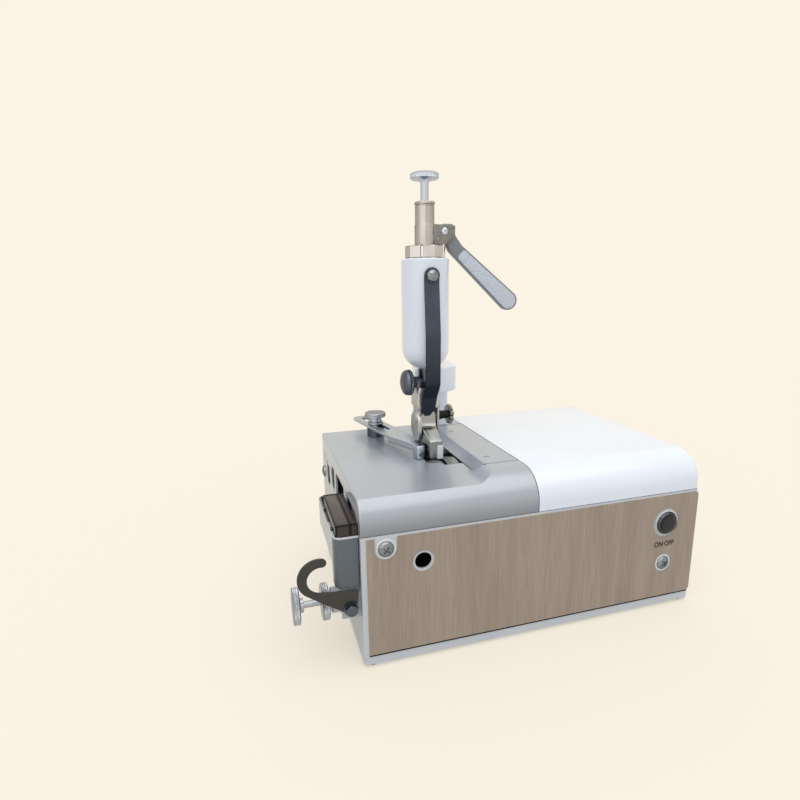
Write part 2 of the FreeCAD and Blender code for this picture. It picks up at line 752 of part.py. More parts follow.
def pan_screw(name, place, along, flip):
    """A pan head screw; its head's underside lies at `place` and its shank runs along the axis."""
    profile = [
        (0, -size.pan_head_high), (size.pan_head_radius * 0.45, -size.pan_head_high * 0.96),
        (size.pan_head_radius * 0.8, -size.pan_head_high * 0.7),
        (size.pan_head_radius, -size.pan_head_high * 0.2),
        (size.pan_head_radius, 0), (size.pan_shank_radius, 0), (size.pan_shank_radius, size.pan_shank_length),
        (0, size.pan_shank_length),
    ]
    screw = turned(name, profile, place, along)
    slot = box(f"{name}_slot", (0, 0, 0), (2.2 * size.pan_head_radius, 1.2, 1.3))
    middle = triple(place)
    turn = UPRIGHT_TO[along].multiply(Rotation(AXES["Z"], flip))
    corner = Vector(-1.1 * amount(size.pan_head_radius), -0.6, -amount(size.pan_head_high) - 0.1)
    slot.Placement = Placement(middle + turn.multVec(corner), turn)
    return cut(f"{name}_slotted", screw, slot)


def panel_screws():
    """Two screws of the front and two of the end plate."""
    front = [
        pan_screw(
            "front_screw0", (across(size.left_screw_across), back(0), up(size.left_screw_height)), "Y", 40
        ),
        pan_screw(
            "front_screw1", (across(right_screw_across), back(0), up(size.right_screw_height)), "Y", -35
        ),
    ]
    ends = [
        pan_screw(f"end_screw{number}", (across(0), back(y), up(z)), "X", 25 * number)
        for number, (y, z) in enumerate(end_screw_places())
    ]
    keep("panel_screws", group("screws", *front, *ends))


def nosed_block(name, left, right, low, high, front, rear, nose, rear_radius):
    """A block whose front upper edge and back upper edge are rounded."""
    outline = rectangle(back(front), up(low), back(rear), up(high))
    return padded(name, "YZ", outline, left, right - left, [((3,), nose), ((2,), rear_radius)])


def ramp_outline(left_end, drop, right_end):
    """Cross-section of the space above the table flat and the ramp, `drop` below them."""
    foot, top = size.ramp_foot, size.ramp_foot + size.ramp_run
    above = cover_top + size.nose_radius
    return [
        (across(left_end), up(table_level - drop)), (across(foot), up(table_level - drop)),
        (across(top), up(cover_top - drop)), (across(right_end), up(cover_top - drop)),
        (across(right_end), up(above)), (across(left_end), up(above)),
    ]


def table_casting():
    """The grey table: a rounded nose, a flat lowered below the cover, a ramp, and openings over the knife."""
    wall, depth, length = size.table_wall, size.case_depth, size.table_length
    blank = nosed_block(
        "table_blank", across(0), across(length), seam_level, cover_top, 0 * depth, depth,
        size.nose_radius, size.rear_round,
    )
    cavity = nosed_block(
        "table_cavity", across(wall), across(length + wall), seam_level - wall,
        table_level - size.table_thick, wall, depth - wall, size.nose_radius - wall - size.table_drop / 2,
        size.rear_round / 2,
    )
    flat = padded(
        "table_flat", "XZ", ramp_outline(-wall, 0 * wall, length + wall), back(-wall), depth + 2 * wall
    )
    seat = padded(
        "plate_seat", "XZ", plate_seat_outline(), back(size.plate_front), plate_rear - size.plate_front
    )
    well = box(
        "plate_well",
        (
            across(size.ramp_foot + size.plate_ledge), back(size.plate_front + size.plate_ledge),
            up(seam_level)
        ),
        (length, plate_rear - size.plate_front - 2 * size.plate_ledge, size.cover_rise),
    )
    slot = padded(
        "knife_slot", "XY", knife_slot_outline(), up(seam_level), size.cover_rise, [((0, 3), size.slot_round)]
    )
    bell_room = cylinder(
        "bell_room", size.knife_radius + size.clearance, size.knife_length,
        knife_axis(size.knife_left - size.clearance), "X",
    )
    window = padded("skirt_window", "YZ", skirt_window_outline(), across(-wall), 2 * wall + size.seam)
    screw = guide_screw_place()
    tapped = cylinder(
        "guide_screw_hole", size.guide_shank_radius, 2 * size.table_thick,
        (screw[0], screw[1], up(table_level - 1.5 * size.table_thick)),
    )
    keep("table_casting", cut("table_cast", blank, cavity, flat, seat, well, slot, bell_room, window, tapped))


def skirt_window_outline():
    """The part of the casting's left side that stays open for the end plate."""
    wall, depth = size.table_wall, size.case_depth
    inner = wall + 7
    return [
        (back(wall), up(seam_level - wall)), (back(depth - wall), up(seam_level - wall)),
        (back(depth - wall), up(skirt_level(depth - wall))),
        (back(inner), up(table_level - size.table_thick)), (back(wall), up(seam_level + 8)),
    ]


def plate_seat_outline():
    """Cross-section of the space that holds the knife plate."""
    foot, top, thick = size.ramp_foot, size.ramp_foot + size.ramp_run, size.plate_thick
    right = size.table_length + size.table_wall
    above = cover_top + size.table_wall
    return [
        (across(foot), up(table_level)), (across(foot + thick), up(table_level)),
        (across(top + thick / 2), up(cover_top - thick)), (across(right), up(cover_top - thick)),
        (across(right), up(above)), (across(foot), up(above)),
    ]


def knife_slot_outline():
    """Opening over the bell's rim; it widens to the left where the roller comes up."""
    left, right = across(size.slot_left), across(size.ramp_foot + 2 * size.plate_ledge)
    front, rear, step = back(size.slot_front), back(size.slot_rear), back(size.slot_front + size.slot_widens)
    return [
        (left + size.slot_narrow, front), (right, front), (right, rear), (left, rear), (left, step),
        (left + size.slot_narrow, step),
    ]


def knife_plate():
    """The plate over the bell: level on top, with a ramp down to the table on its left."""
    foot, top, thick = size.ramp_foot, size.ramp_foot + size.ramp_run, size.plate_thick
    lift = size.knife_below / 2
    outline = [
        (across(foot + size.seam / 2), up(table_level + lift)),
        (across(foot + thick - size.seam), up(table_level + lift)),
        (across(top + thick / 2 - size.seam / 2), up(cover_top - thick)),
        (across(size.table_length - size.seam / 2), up(cover_top - thick)),
        (across(size.table_length - size.seam / 2), up(cover_top)), (across(top), up(cover_top)),
    ]
    start = back(size.plate_front + size.seam)
    plate = padded("knife_plate_blank", "XZ", outline, start, plate_rear - size.plate_front - 2 * size.seam)
    keep("knife_plate", plate)


def motor_cover():
    """The white cover: the table's profile carried on, with a rounded right end."""
    left, right, wall = across(size.table_length + size.seam), across(size.case_length), size.cover_wall
    outer = nosed_block(
        "cover_blank", left, right, seam_level, cover_top, 0 * size.case_depth, size.case_depth,
        size.nose_radius, size.rear_round,
    )
    end_edges = [
        f"Edge{number}" for number, edge in enumerate(outer.Tip.Shape.Edges, start=1)
        if all(abs(vertex.X - amount(right - left)) < NEAR for vertex in edge.Vertexes)
        and min(vertex.Z for vertex in edge.Vertexes) > amount(up(seam_level)) + NEAR
    ]
    rounded(outer, "cover_end_round", end_edges, size.end_round)
    inner = nosed_block(
        "cover_cavity", left - wall, right - wall, seam_level - wall, cover_top - wall, wall,
        size.case_depth - wall, size.nose_radius - wall, size.rear_round / 2,
    )
    keep("motor_cover", cut("cover_shell", outer, inner))


def knife_axis(distance):
    return across(distance), back(size.knife_back), up(knife_height)


def bell_knife():
    """The bell: an open cup with a bevelled cutting rim on the left, clamped on its shaft at the right."""
    radius, inner = size.knife_radius, size.knife_radius - size.knife_wall
    length, disc = size.knife_length, size.knife_disc
    bore = size.shaft_radius * 0.7
    bevel = 3 * size.knife_wall
    profile = [
        (radius - 0.2, 0), (radius, bevel), (radius, length - 3), (radius - 3, length), (bore, length),
        (bore, length - disc), (inner - 5, length - disc), (inner, length - disc - 5), (inner, bevel),
    ]
    keep("bell_knife", turned("bell", profile, knife_axis(size.knife_left), "X"))


def knife_shaft():
    """The shaft: a spigot through the bell's disc, a nut on its end and a shoulder behind the disc."""
    spigot = size.shaft_radius * 0.7
    disc_left = size.knife_length - size.knife_disc
    nut = size.shaft_nut
    end = size.shaft_end - size.knife_left - disc_left
    profile = [
        (0, -nut), (size.shaft_radius * 1.6, -nut), (size.shaft_radius * 1.6, 0), (spigot, 0),
        (spigot, size.knife_disc), (size.shaft_radius, size.knife_disc), (size.shaft_radius, end), (0, end),
    ]
    keep("knife_shaft", turned("shaft", profile, knife_axis(size.knife_left + disc_left), "X"))


def pedestals():
    """Two pedestals bolted on the base plate, each with a bearing seat."""
    outer_radius = size.bearing_radius + 5
    blocks = []
    for number, left in enumerate((size.pedestal_left, size.pedestal_right)):
        half = size.pedestal_width / 2
        upright = box(
            f"pedestal_stem{number}", (across(left), back(size.knife_back - outer_radius * 0.7), up(0)),
            (size.bearing_width, outer_radius * 1.4, knife_height),
        )
        foot = box(
            f"pedestal_foot{number}", (across(left), back(size.knife_back - half), up(0)),
            (size.bearing_width, size.pedestal_width, size.pedestal_foot),
        )
        head = cylinder(f"pedestal_head{number}", outer_radius, size.bearing_width, knife_axis(left), "X")
        seat = cylinder(
            f"pedestal_seat{number}", size.bearing_radius, size.bearing_width, knife_axis(left), "X"
        )
        blocks.append(cut(f"pedestal{number}", fuse(f"pedestal_solid{number}", upright, foot, head), seat))
    keep("bearing_pedestals", group("pedestal_pair", *blocks))


def knife_bearings():
    bore = size.shaft_radius + size.running_gap
    rings = [
        ring(f"bearing{number}", size.bearing_radius, bore, size.bearing_width, knife_axis(left), "X")
        for number, left in enumerate((size.pedestal_left, size.pedestal_right))
    ]
    keep("knife_bearings", group("bearing_pair", *rings))


def flanged_pulley(name, radius, bore, width, belt, place, along):
    """A belt pulley with a flange on each side that stands over its belt."""
    flange = 1.5
    rim = radius + belt + 1
    profile = [
        (bore, 0), (rim, 0), (rim, flange), (radius, flange), (radius, width - flange), (rim, width - flange),
        (rim, width), (bore, width),
    ]
    return turned(name, profile, place, along)


def motor_axis(distance):
    return across(distance), back(motor_back), up(size.motor_height)


def drive_pulleys():
    knife = flanged_pulley(
        "knife_pulley_blank", size.knife_pulley_radius, size.shaft_radius, size.pulley_width, size.belt_thick,
        knife_axis(size.pulley_left), "X",
    )
    keep("knife_pulley", knife)
    pulley = flanged_pulley(
        "motor_pulley_blank", size.motor_pulley_radius, 0 * size.motor_pulley_radius, size.pulley_width,
        size.belt_thick, motor_axis(size.pulley_left), "X",
    )
    inside = size.motor_left + size.motor_length / 2
    length = size.pulley_left + size.pulley_width + 3 - inside
    spindle = cylinder("motor_spindle", size.motor_shaft_radius, length, motor_axis(inside), "X")
    keep("motor_pulley", fuse("motor_turning", pulley, spindle))


def belt_loop(first, first_radius, second, second_radius, thick):
    """A closed belt around two pulleys, as a flat face: two arcs joined by their outer tangents."""
    def outline(first_r, second_r):
        distance = math.hypot(second[0] - first[0], second[1] - first[1])
        heading = math.atan2(second[1] - first[1], second[0] - first[0])
        spread = math.acos((first_r - second_r) / distance)
        def on(centre, radius, angle):
            return Vector(centre[0] + radius * math.cos(angle), centre[1] + radius * math.sin(angle), 0)
        a = on(first, first_r, heading + spread)
        b = on(first, first_r, heading + math.pi)
        c = on(first, first_r, heading - spread)
        d = on(second, second_r, heading - spread)
        e = on(second, second_r, heading)
        f = on(second, second_r, heading + spread)
        edges = [Part.Arc(a, b, c), Part.LineSegment(c, d), Part.Arc(d, e, f), Part.LineSegment(f, a)]
        return Part.Wire([edge.toShape() for edge in edges])
    outer = Part.Face(outline(first_radius + thick, second_radius + thick))
    inner = Part.Face(outline(first_radius, second_radius))
    return outer.cut(inner)


def drive_belt():
    """The flat belt from the motor to the knife shaft."""
    gap = amount(size.belt_gap)
    first = amount(size.knife_back), amount(knife_height)
    second = amount(motor_back), amount(size.motor_height)
    loop = belt_loop(
        first, amount(size.knife_pulley_radius) + gap, second, amount(size.motor_pulley_radius) + gap,
        amount(size.belt_thick),
    )
    belt = loop.extrude(Vector(0, 0, amount(size.pulley_width) - 4))
    thing = with_shape("drive_belt_loop", belt)
    yz_plane = Rotation(Vector(0, 1, 0), Vector(0, 0, 1), Vector(1, 0, 0), "XYZ")
    keep("drive_belt", put(thing, (across(size.pulley_left + 2), back(0), up(0)), yz_plane))


def motor():
    """The motor body with end bells; its shaft turns in a bore."""
    radius, length, bore = size.motor_radius, size.motor_length, size.motor_shaft_radius + size.running_gap
    step = 8
    profile = [
        (0, 0), (radius - 4, 0), (radius, step), (radius, length - step), (radius - 4, length),
        (bore, length),
        (bore, length / 2 - 1), (0, length / 2 - 1),
    ]
    keep("motor", turned("motor_body", profile, motor_axis(size.motor_left), "X"))


def motor_cradles():
    """Two saddles between the motor and the base plate."""
    saddles = []
    far = size.motor_length - size.cradle_width - 14
    for number, offset in enumerate((14, far)):
        left = size.motor_left + offset
        block = box(
            f"saddle_block{number}", (across(left), back(motor_back - size.motor_radius * 0.8), up(0)),
            (size.cradle_width, size.motor_radius * 1.6, size.motor_height * 0.6),
        )
        hollow = cylinder(
            f"saddle_hollow{number}", size.motor_radius, size.cradle_width, motor_axis(left), "X"
        )
        saddles.append(cut(f"saddle{number}", block, hollow))
    keep("motor_cradles", group("saddle_pair", *saddles))


def feed_axis(distance):
    return across(size.roller_left), back(distance), up(feed_height)


def feed_roller():
    """The stone roller under the foot: slightly barrelled to follow the inside of the bell."""
    radius, width = size.roller_radius, size.roller_width
    profile = [
        (size.feed_shaft_radius, 0), (radius - 1.6, 0), (radius - 0.4, width * 0.25), (radius, width * 0.5),
        (radius - 0.4, width * 0.75), (radius - 1.6, width), (size.feed_shaft_radius, width),
    ]
    keep("feed_roller", turned("roller", profile, feed_axis(size.knife_back - width / 2), "Y"))


def feed_shaft():
    start = size.knife_back - size.roller_width / 2 - 4
    length = feed_shaft_rear - start
    keep("feed_shaft", cylinder("feed_spindle", size.feed_shaft_radius, length, feed_axis(start), "Y"))


def feed_motor_axis(distance):
    return across(size.roller_left), back(distance), up(feed_motor_height)


def feed_drive():
    """Small gear motor under the table, a pulley on each shaft and a belt between them."""
    upper = flanged_pulley(
        "feed_pulley_blank", size.feed_pulley_radius, size.feed_shaft_radius, size.feed_pulley_width,
        size.feed_belt_thick, feed_axis(feed_pulley_front), "Y",
    )
    keep("feed_pulley", upper)
    lower = flanged_pulley(
        "feed_drive_pulley_blank", size.feed_drive_radius, 0 * size.feed_drive_radius,
        size.feed_pulley_width, size.feed_belt_thick, feed_motor_axis(feed_pulley_front), "Y",
    )
    rear = feed_pulley_front + size.feed_pulley_width
    spindle = cylinder(
        "feed_drive_spindle", size.feed_shaft_radius, feed_motor_front - rear + 12, feed_motor_axis(rear), "Y"
    )
    keep("feed_drive_pulley", fuse("feed_drive_turning", lower, spindle))
    bore = size.feed_shaft_radius + size.running_gap
    length = size.feed_motor_length
    profile = [
        (0, 14), (bore, 14), (bore, 0), (size.feed_motor_radius, 0), (size.feed_motor_radius, length),
        (0, length),
    ]
    keep("feed_motor", turned("feed_motor_body", profile, feed_motor_axis(feed_motor_front), "Y"))


def feed_belt():
    gap = amount(size.belt_gap)
    first = 0.0, amount(feed_motor_height)
    second = 0.0, amount(feed_height)
    loop = belt_loop(
        first, amount(size.feed_drive_radius) + gap,
        second, amount(size.feed_pulley_radius) + gap, amount(size.feed_belt_thick),
    )
    belt = loop.extrude(Vector(0, 0, amount(size.feed_pulley_width) - 4))
    thing = with_shape("feed_belt_loop", belt)
    xz_plane = Rotation(Vector(-1, 0, 0), Vector(0, 0, 1), Vector(0, 1, 0), "XYZ")
    keep("feed_belt", put(thing, (across(size.roller_left), back(feed_pulley_front + 2), up(0)), xz_plane))


def feed_bracket():
    """One upright on the base plate that carries the feed shaft; the gear motor is strapped to its back."""
    left = size.roller_left - size.bracket_width / 2
    top = feed_height + size.feed_shaft_radius + 3
    upright = box(
        "bracket_upright", (across(left), back(bracket_front), up(0)),
        (size.bracket_width, size.bracket_thick, top),
    )
    shelf_top = feed_motor_height
    rear = feed_motor_front + size.feed_motor_length
    shelf = box(
        "bracket_shelf", (across(left), back(bracket_front), up(0)),
        (size.bracket_width, rear - bracket_front, shelf_top),
    )
    hollow = cylinder(
        "bracket_hollow", size.feed_motor_radius, size.feed_motor_length + 1,
        feed_motor_axis(feed_motor_front), "Y",
    )
    sweep = size.feed_drive_radius + size.feed_belt_thick + 3
    pulley_room = cylinder(
        "bracket_room", sweep, feed_motor_front - bracket_front - size.bracket_thick,
        feed_motor_axis(bracket_front + size.bracket_thick), "Y",
    )
    bore = cylinder(
        "bracket_bore", size.feed_shaft_radius + size.running_gap, size.bracket_thick,
        feed_axis(bracket_front), "Y",
    )
    keep("feed_bracket", cut("bracket", fuse("bracket_solid", upright, shelf), hollow, pulley_room, bore))


def stone_level():
    """Height of the grinding stone's axis, under the bell."""
    return knife_height - size.knife_radius - size.stone_radius - size.clearance


def stone_across():
    return size.knife_left + size.stone_width / 2


def grinding_stone():
    """The stone that keeps the bell sharp, on its spindle in the carriage."""
    radius, width = size.stone_radius, size.stone_width
    start = size.knife_back - width / 2
    stone = ring(
        "stone_wheel", radius, size.stone_pin_radius, width,
        (across(stone_across()), back(start), up(stone_level())), "Y",
    )
    keep("grinding_stone", stone)
    pin_start = start - 7
    pin = cylinder(
        "stone_spindle_pin", size.stone_pin_radius, width + 14,
        (across(stone_across()), back(pin_start), up(stone_level())), "Y",
    )
    keep("stone_spindle", pin)


def stone_carriage():
    """The carriage slides along X on the base plate; its nut takes the adjusting screw."""
    left, length, high = size.carriage_left, size.carriage_length, size.carriage_high
    width = size.stone_width
    ear = 5
    gap = 1
    front_ear = size.knife_back - width / 2 - gap - ear
    rear_ear = size.knife_back + width / 2 + gap
    floor = size.clearance
    nut = 2.6 * size.screw_radius
    slab_front = size.screw_back - nut
    slab = box(
        "carriage_slab", (across(left), back(slab_front), up(floor)),
        (length, rear_ear + ear - slab_front, high - floor),
    )
    ears = [
        box(
            f"carriage_ear{number}", (across(stone_across() - 8), back(start), up(floor)),
            (16, ear, stone_level() + size.stone_pin_radius + 3 - floor),
        )
        for number, start in enumerate((front_ear, rear_ear))
    ]
    post = box(
        "carriage_post", (across(left), back(slab_front), up(floor)),
        (12, 2 * nut, size.screw_height + nut - floor)
    )
    room = cylinder(
        "stone_room", size.stone_radius + 1.5, width + 2 * gap,
        (across(stone_across()), back(size.knife_back - width / 2 - gap), up(stone_level())), "Y",
    )
    pin_bore = cylinder(
        "stone_pin_bore", size.stone_pin_radius + size.running_gap, size.case_depth / 2,
        (across(stone_across()), back(front_ear), up(stone_level())), "Y",
    )
    screw = cylinder(
        "carriage_thread", screw_bore, length,
        (across(left), back(size.screw_back), up(size.screw_height)), "X"
    )
    solid = fuse("carriage_solid", slab, post, *ears)
    keep("stone_carriage", cut("carriage", solid, room, pin_bore, screw))


def screw_axis(distance):
    return across(distance), back(size.screw_back), up(size.screw_height)


def knob_profile(radius, width, bore):
    """A flat knob with bevelled edges."""
    bevel = 0.8
    return [
        (bore, 0), (radius - bevel, 0), (radius, bevel), (radius, width - bevel), (radius - bevel, width),
        (bore, width),
    ]


def left_adjuster():
    """The boss on the end plate, the adjusting screw with its knob, and the knurled lock nut."""
    boss = ring(
        "screw_boss_ring", size.boss_radius, screw_bore, size.boss_reach, screw_axis(-size.boss_reach),
        "X"
    )
    keep("screw_boss", boss)
    reach, width = size.outer_knob_reach, size.knob_width
    knob = turned(
        "outer_knob_blank", knob_profile(size.knob_radius, width, 0 * width), screw_axis(-reach), "X"
    )
    start = width - reach
    thread = cylinder(
        "adjusting_thread", size.screw_radius, size.screw_inner_end - start, screw_axis(start), "X"
    )
    collar = cylinder("adjusting_collar", 2 * size.screw_radius, 4, screw_axis(start), "X")
    keep("adjusting_screw", fuse("adjusting_solid", knob, thread, collar))
    nut = turned(
        "lock_nut_blank", knob_profile(size.knob_radius, width, screw_bore),
        screw_axis(-size.lock_nut_reach), "X"
    )
    keep("lock_nut", nut)


def hook_place(reach, height):
    return across(-reach), back(size.hook_front), up(height)


def hook_lever():
    """A flat steel lever: an eye at its bolt, an arm, and a bow turned up and back over it."""
    thick = size.hook_thick
    bow_place = hook_place(size.hook_bow_reach, size.hook_bow_height)
    outer = cylinder("bow_outer", size.hook_bow_radius, thick, bow_place, "Y")
    inner = cylinder("bow_inner", size.hook_bow_radius - size.hook_bow_width, thick, bow_place, "Y")
    reach, width = size.hook_bow_reach, size.hook_bow_width
    mouth = box(
        "bow_mouth",
        (across(-reach + 3.5), back(size.hook_front), up(size.hook_bow_height - 2 * size.hook_bow_radius)),
        (size.hook_bow_radius * 2, thick, size.hook_bow_radius * 4),
    )
    bow = cut("bow", outer, inner, mouth)
    tip_height = size.hook_bow_height + size.hook_bow_radius - width / 2 - 0.4
    tip = cylinder("bow_tip", width / 2 - 0.6, thick, hook_place(reach - 3.5, tip_height), "Y")
    eye_reach, eye_height = size.hook_pivot_reach, size.hook_pivot_height
    outline = [
        (across(-reach - 11.5), up(size.hook_arm_low)), (across(-reach + 4), up(size.hook_arm_low - 8.5)),
        (across(-eye_reach - 4), up(eye_height - size.hook_eye_radius + 1)),
        (across(-eye_reach + 3), up(eye_height + size.hook_eye_radius - 1)),
        (across(-eye_reach - 1.5), up(eye_height + size.hook_eye_radius + 4.5)),
        (across(-reach + 2), up(size.hook_arm_high)), (across(-reach - 9), up(size.hook_arm_high + 4)),
    ]
    arm = padded("hook_arm", "XZ", outline, back(size.hook_front), thick)
    eye = cylinder("hook_eye", size.hook_eye_radius, thick, hook_place(eye_reach, eye_height), "Y")
    hole = cylinder(
        "hook_hole", size.hook_bolt_radius + size.running_gap, thick, hook_place(eye_reach, eye_height), "Y"
    )
    finger_room = cylinder(
        "finger_room", size.hook_bow_radius - size.hook_bow_width, thick, bow_place, "Y"
    )
    solid = fuse("hook_solid", bow, tip, arm, eye)
    keep("hook_lever", cut("hook", solid, hole, finger_room))


def hook_lug():
    """The tab of the end plate that the hook lever is bolted to, with its hole."""
    behind = size.hook_front + size.hook_thick + size.running_gap
    width = size.hook_pivot_reach + size.hook_eye_radius - 1
    lug = box(
        "lug_block", (across(-width), back(behind), up(size.hook_pivot_height - size.lug_height / 2)),
        (width + size.sheet_wall / 2, size.lug_thick, size.lug_height),
    )
    hole = cylinder(
        "lug_hole", size.hook_bolt_radius, 2 * size.lug_thick,
        (across(-size.hook_pivot_reach), back(behind - 1), up(size.hook_pivot_height)), "Y",
    )
    return lug, hole


def hook_bolt():
    """The hexagon bolt with its washer that the hook lever turns on."""
    behind = size.hook_front + size.hook_thick + size.running_gap
    front = size.hook_front - size.running_gap
    head = doc.addObject("Part::Prism", "bolt_head")
    head.Polygon = 6
    bind(head, "Circumradius", size.hook_bolt_head)
    bind(head, "Height", size.bolt_head_high)
    place = (
        across(-size.hook_pivot_reach), back(front - 1 - size.bolt_head_high), up(size.hook_pivot_height)
    )
    put(head, place, UPRIGHT_TO["Y"])
    washer = cylinder(
        "bolt_washer", size.hook_bolt_head + 1, 1,
        (across(-size.hook_pivot_reach), back(front - 1), up(size.hook_pivot_height)), "Y",
    )
    shank = cylinder(
        "bolt_shank", size.hook_bolt_radius, behind + size.lug_thick - front,
        (across(-size.hook_pivot_reach), back(front), up(size.hook_pivot_height)), "Y",
    )
    keep("hook_bolt", fuse("bolt", head, washer, shank))


def scrap_tray():
    """The tray for the parings, on its shelf beside the end plate."""
    wall, front, rear = size.tray_wall, size.tray_front, size.tray_front + size.tray_length
    right = -size.clearance
    outer = padded(
        "tray_blank", "XY", rectangle(across(-size.tray_reach), back(front), across(right), back(rear)),
        up(size.tray_low), size.tray_high - size.tray_low, [((0, 3), size.tray_corner)],
    )
    inner = padded(
        "tray_hollow", "XY",
        rectangle(
            across(-size.tray_reach + wall), back(front + wall), across(right - wall), back(rear - wall)
        ),
        up(size.tray_low + wall), size.tray_high, [((0, 3), size.tray_corner - wall)],
    )
    lowered = box(
        "tray_low_side", (across(right - 1.5 * wall), back(front + wall), up(size.tray_inner_high)),
        (3 * wall, size.tray_length - 2 * wall, size.tray_high),
    )
    keep("scrap_tray", cut("tray", outer, inner, lowered))
    shelf = box(
        "shelf_plate",
        (across(-size.shelf_reach), back(size.shelf_front), up(size.tray_low - size.shelf_thick)),
        (size.shelf_reach, rear - size.shelf_front, size.shelf_thick),
    )
    keep("tray_shelf", shelf)


def chip_guard():
    """The smoked guard over the chip window: closed on top, in front and on the left, open below."""
    wall, front = size.guard_wall, size.tray_front + size.tray_wall + size.clearance
    left = -size.tray_reach + size.tray_wall + size.clearance
    right = -2 * size.clearance
    outer = padded(
        "guard_blank", "XY",
        rectangle(across(left), back(front), across(right), back(front + size.guard_length)),
        up(size.guard_low), size.guard_high - size.guard_low, [((0,), size.tray_corner - size.tray_wall)],
    )
    hollow = box(
        "guard_hollow", (across(left + wall), back(front + wall), up(size.guard_low - wall)),
        (size.tray_reach * 2, size.guard_length - 2 * wall, size.guard_high - size.guard_low),
    )
    hanger_width = 4
    hangers = [
        box(
            f"guard_hanger{number}",
            (across(-size.tray_reach), back(front + wall + place), up(size.tray_high)),
            (size.tray_wall + 2 * size.clearance + wall / 2, hanger_width, 2),
        )
        for number, place in enumerate((12, size.guard_length - 22))
    ]
    keep("chip_guard", fuse("guard", cut("guard_shell", outer, hollow), *hangers))


def power_switch():
    """Bezel and body behind the front wall, and the button that is pressed in."""
    x, z = across(button_across), up(size.button_height)
    bore = size.button_radius + size.running_gap
    depth, length = size.bezel_depth, size.switch_length
    profile = [
        (bore, -depth), (size.bezel_radius - 1.6, -depth), (size.bezel_radius, 1.2 - depth),
        (size.bezel_radius, 0),
        (size.button_hole, 0), (size.button_hole, length), (0, length), (0, length / 2), (bore, length / 2),
    ]
    keep("switch_housing", turned("switch_shell", profile, (x, back(0), z), "Y"))
    front = -depth - size.button_proud
    end = length / 2 - size.button_travel - size.clearance
    button = [
        (0, front), (size.button_radius - 1, front), (size.button_radius, front + 1),
        (size.button_radius, end),
        (0, end),
    ]
    keep("power_button", turned("button", button, (x, back(0), z), "Y"))


def power_inlet():
    """A three-pin inlet in the back wall."""
    width, high, wall = size.inlet_width, size.inlet_high, size.sheet_wall
    depth = 22
    flange = 3
    rear = size.case_depth
    left, low = inlet_left, size.inlet_height
    body = box(
        "inlet_body", (across(left), back(rear - depth), up(low)), (width, depth, high)
    )
    plate = box(
        "inlet_flange", (across(left - flange), back(rear), up(low - flange)),
        (width + 2 * flange, 2, high + 2 * flange)
    )
    socket = box(
        "inlet_socket", (across(left + 2), back(rear - depth + 4), up(low + 2)), (width - 4, depth, high - 4)
    )
    pins = [
        box(
            f"inlet_pin{number}",
            (across(left + width / 2 + shift - 2), back(rear - depth + 3), up(low + high / 2 + lift)),
            (4, depth - wall - 5, 2),
        )
        for number, (shift, lift) in enumerate(((-7, -3), (0, 2), (7, -3)))
    ]
    keep("power_inlet", fuse("inlet", cut("inlet_shell", fuse("inlet_solid", body, plate), socket), *pins))


def head_axis(height):
    return across(size.head_left), back(size.head_back), up(height)


def head_casting():
    """Column, arm and head cylinder in one casting, bored for the presser bar and its spring."""
    low, high, radius = size.head_low, size.head_high, size.head_radius
    corner = size.head_round
    tall = high - low
    profile = [
        (0, 0), (radius - corner, 0), (radius - corner * 0.5, corner * 0.134),
        (radius - corner * 0.134, corner * 0.5), (radius, corner),
        (radius, tall - 1.5), (radius - 1.5, tall), (0, tall),
    ]
    drum = turned("head_drum", profile, head_axis(low))
    column = padded(
        "head_column", "XY",
        rectangle(
            across(size.column_left), back(column_front), across(size.column_right), back(column_rear)
        ),
        up(table_level), size.arm_high - table_level, [((0, 1, 2, 3), 5)],
    )
    front = size.arm_front
    left = size.head_left - 7
    arm_outline = [
        (across(left), back(front)), (across(size.head_left + size.head_radius), back(front)),
        (across(size.column_right - 10), back(front + 12)),
        (across(size.column_right), back(column_front + 4)),
        (across(size.column_right), back(column_rear)), (across(size.column_left), back(column_rear)),
        (across(size.column_left), back(column_front + 2)),
    ]
    arm = padded("head_arm", "XY", arm_outline, up(size.arm_low), size.arm_high - size.arm_low, [((2,), 6)])
    rib_outline = [
        (across(left + 2), back(front - 4)), (across(size.head_left + size.head_radius - 4), back(front - 4)),
        (across(size.column_right - 9), back(column_front)), (across(size.column_left), back(column_front)),
    ]
    rib = padded("head_rib", "XY", rib_outline, up(size.arm_low + 6), size.rib_high - size.arm_low - 6)
    solid = fuse("head_solid", drum, column, arm, rib)
    bore = cylinder("bar_bore", size.bar_radius + size.running_gap, tall, head_axis(low))
    spring_room = cylinder(
        "spring_room", size.spring_radius + size.clearance, high - size.collar_rib_low + size.presser_lift,
        head_axis(size.collar_rib_low - size.presser_lift),
    )
    tapped = cylinder(
        "stud_hole", size.stud_shank, 10,
        (across(size.strap_across), back(head_front()), up(size.stud_height)), "Y"
    )
    footing = padded(
        "head_footing", "XZ", footing_outline(), back(column_front - 1), size.case_depth - column_front
    )
    keep("head_casting", cut("head", solid, bore, spring_room, tapped, footing))


def footing_outline():
    """Cross-section of the table casting under the column."""
    low = table_level - size.table_thick
    return [
        (across(0), up(low)), (across(size.table_length), up(low)),
        (across(size.table_length), up(cover_top)),
        (across(size.ramp_foot + size.ramp_run), up(cover_top)), (across(size.ramp_foot), up(table_level)),
        (across(0), up(table_level)),
    ]


def head_front():
    """Front of the head cylinder, from the case's front."""
    return size.head_back - size.head_radius


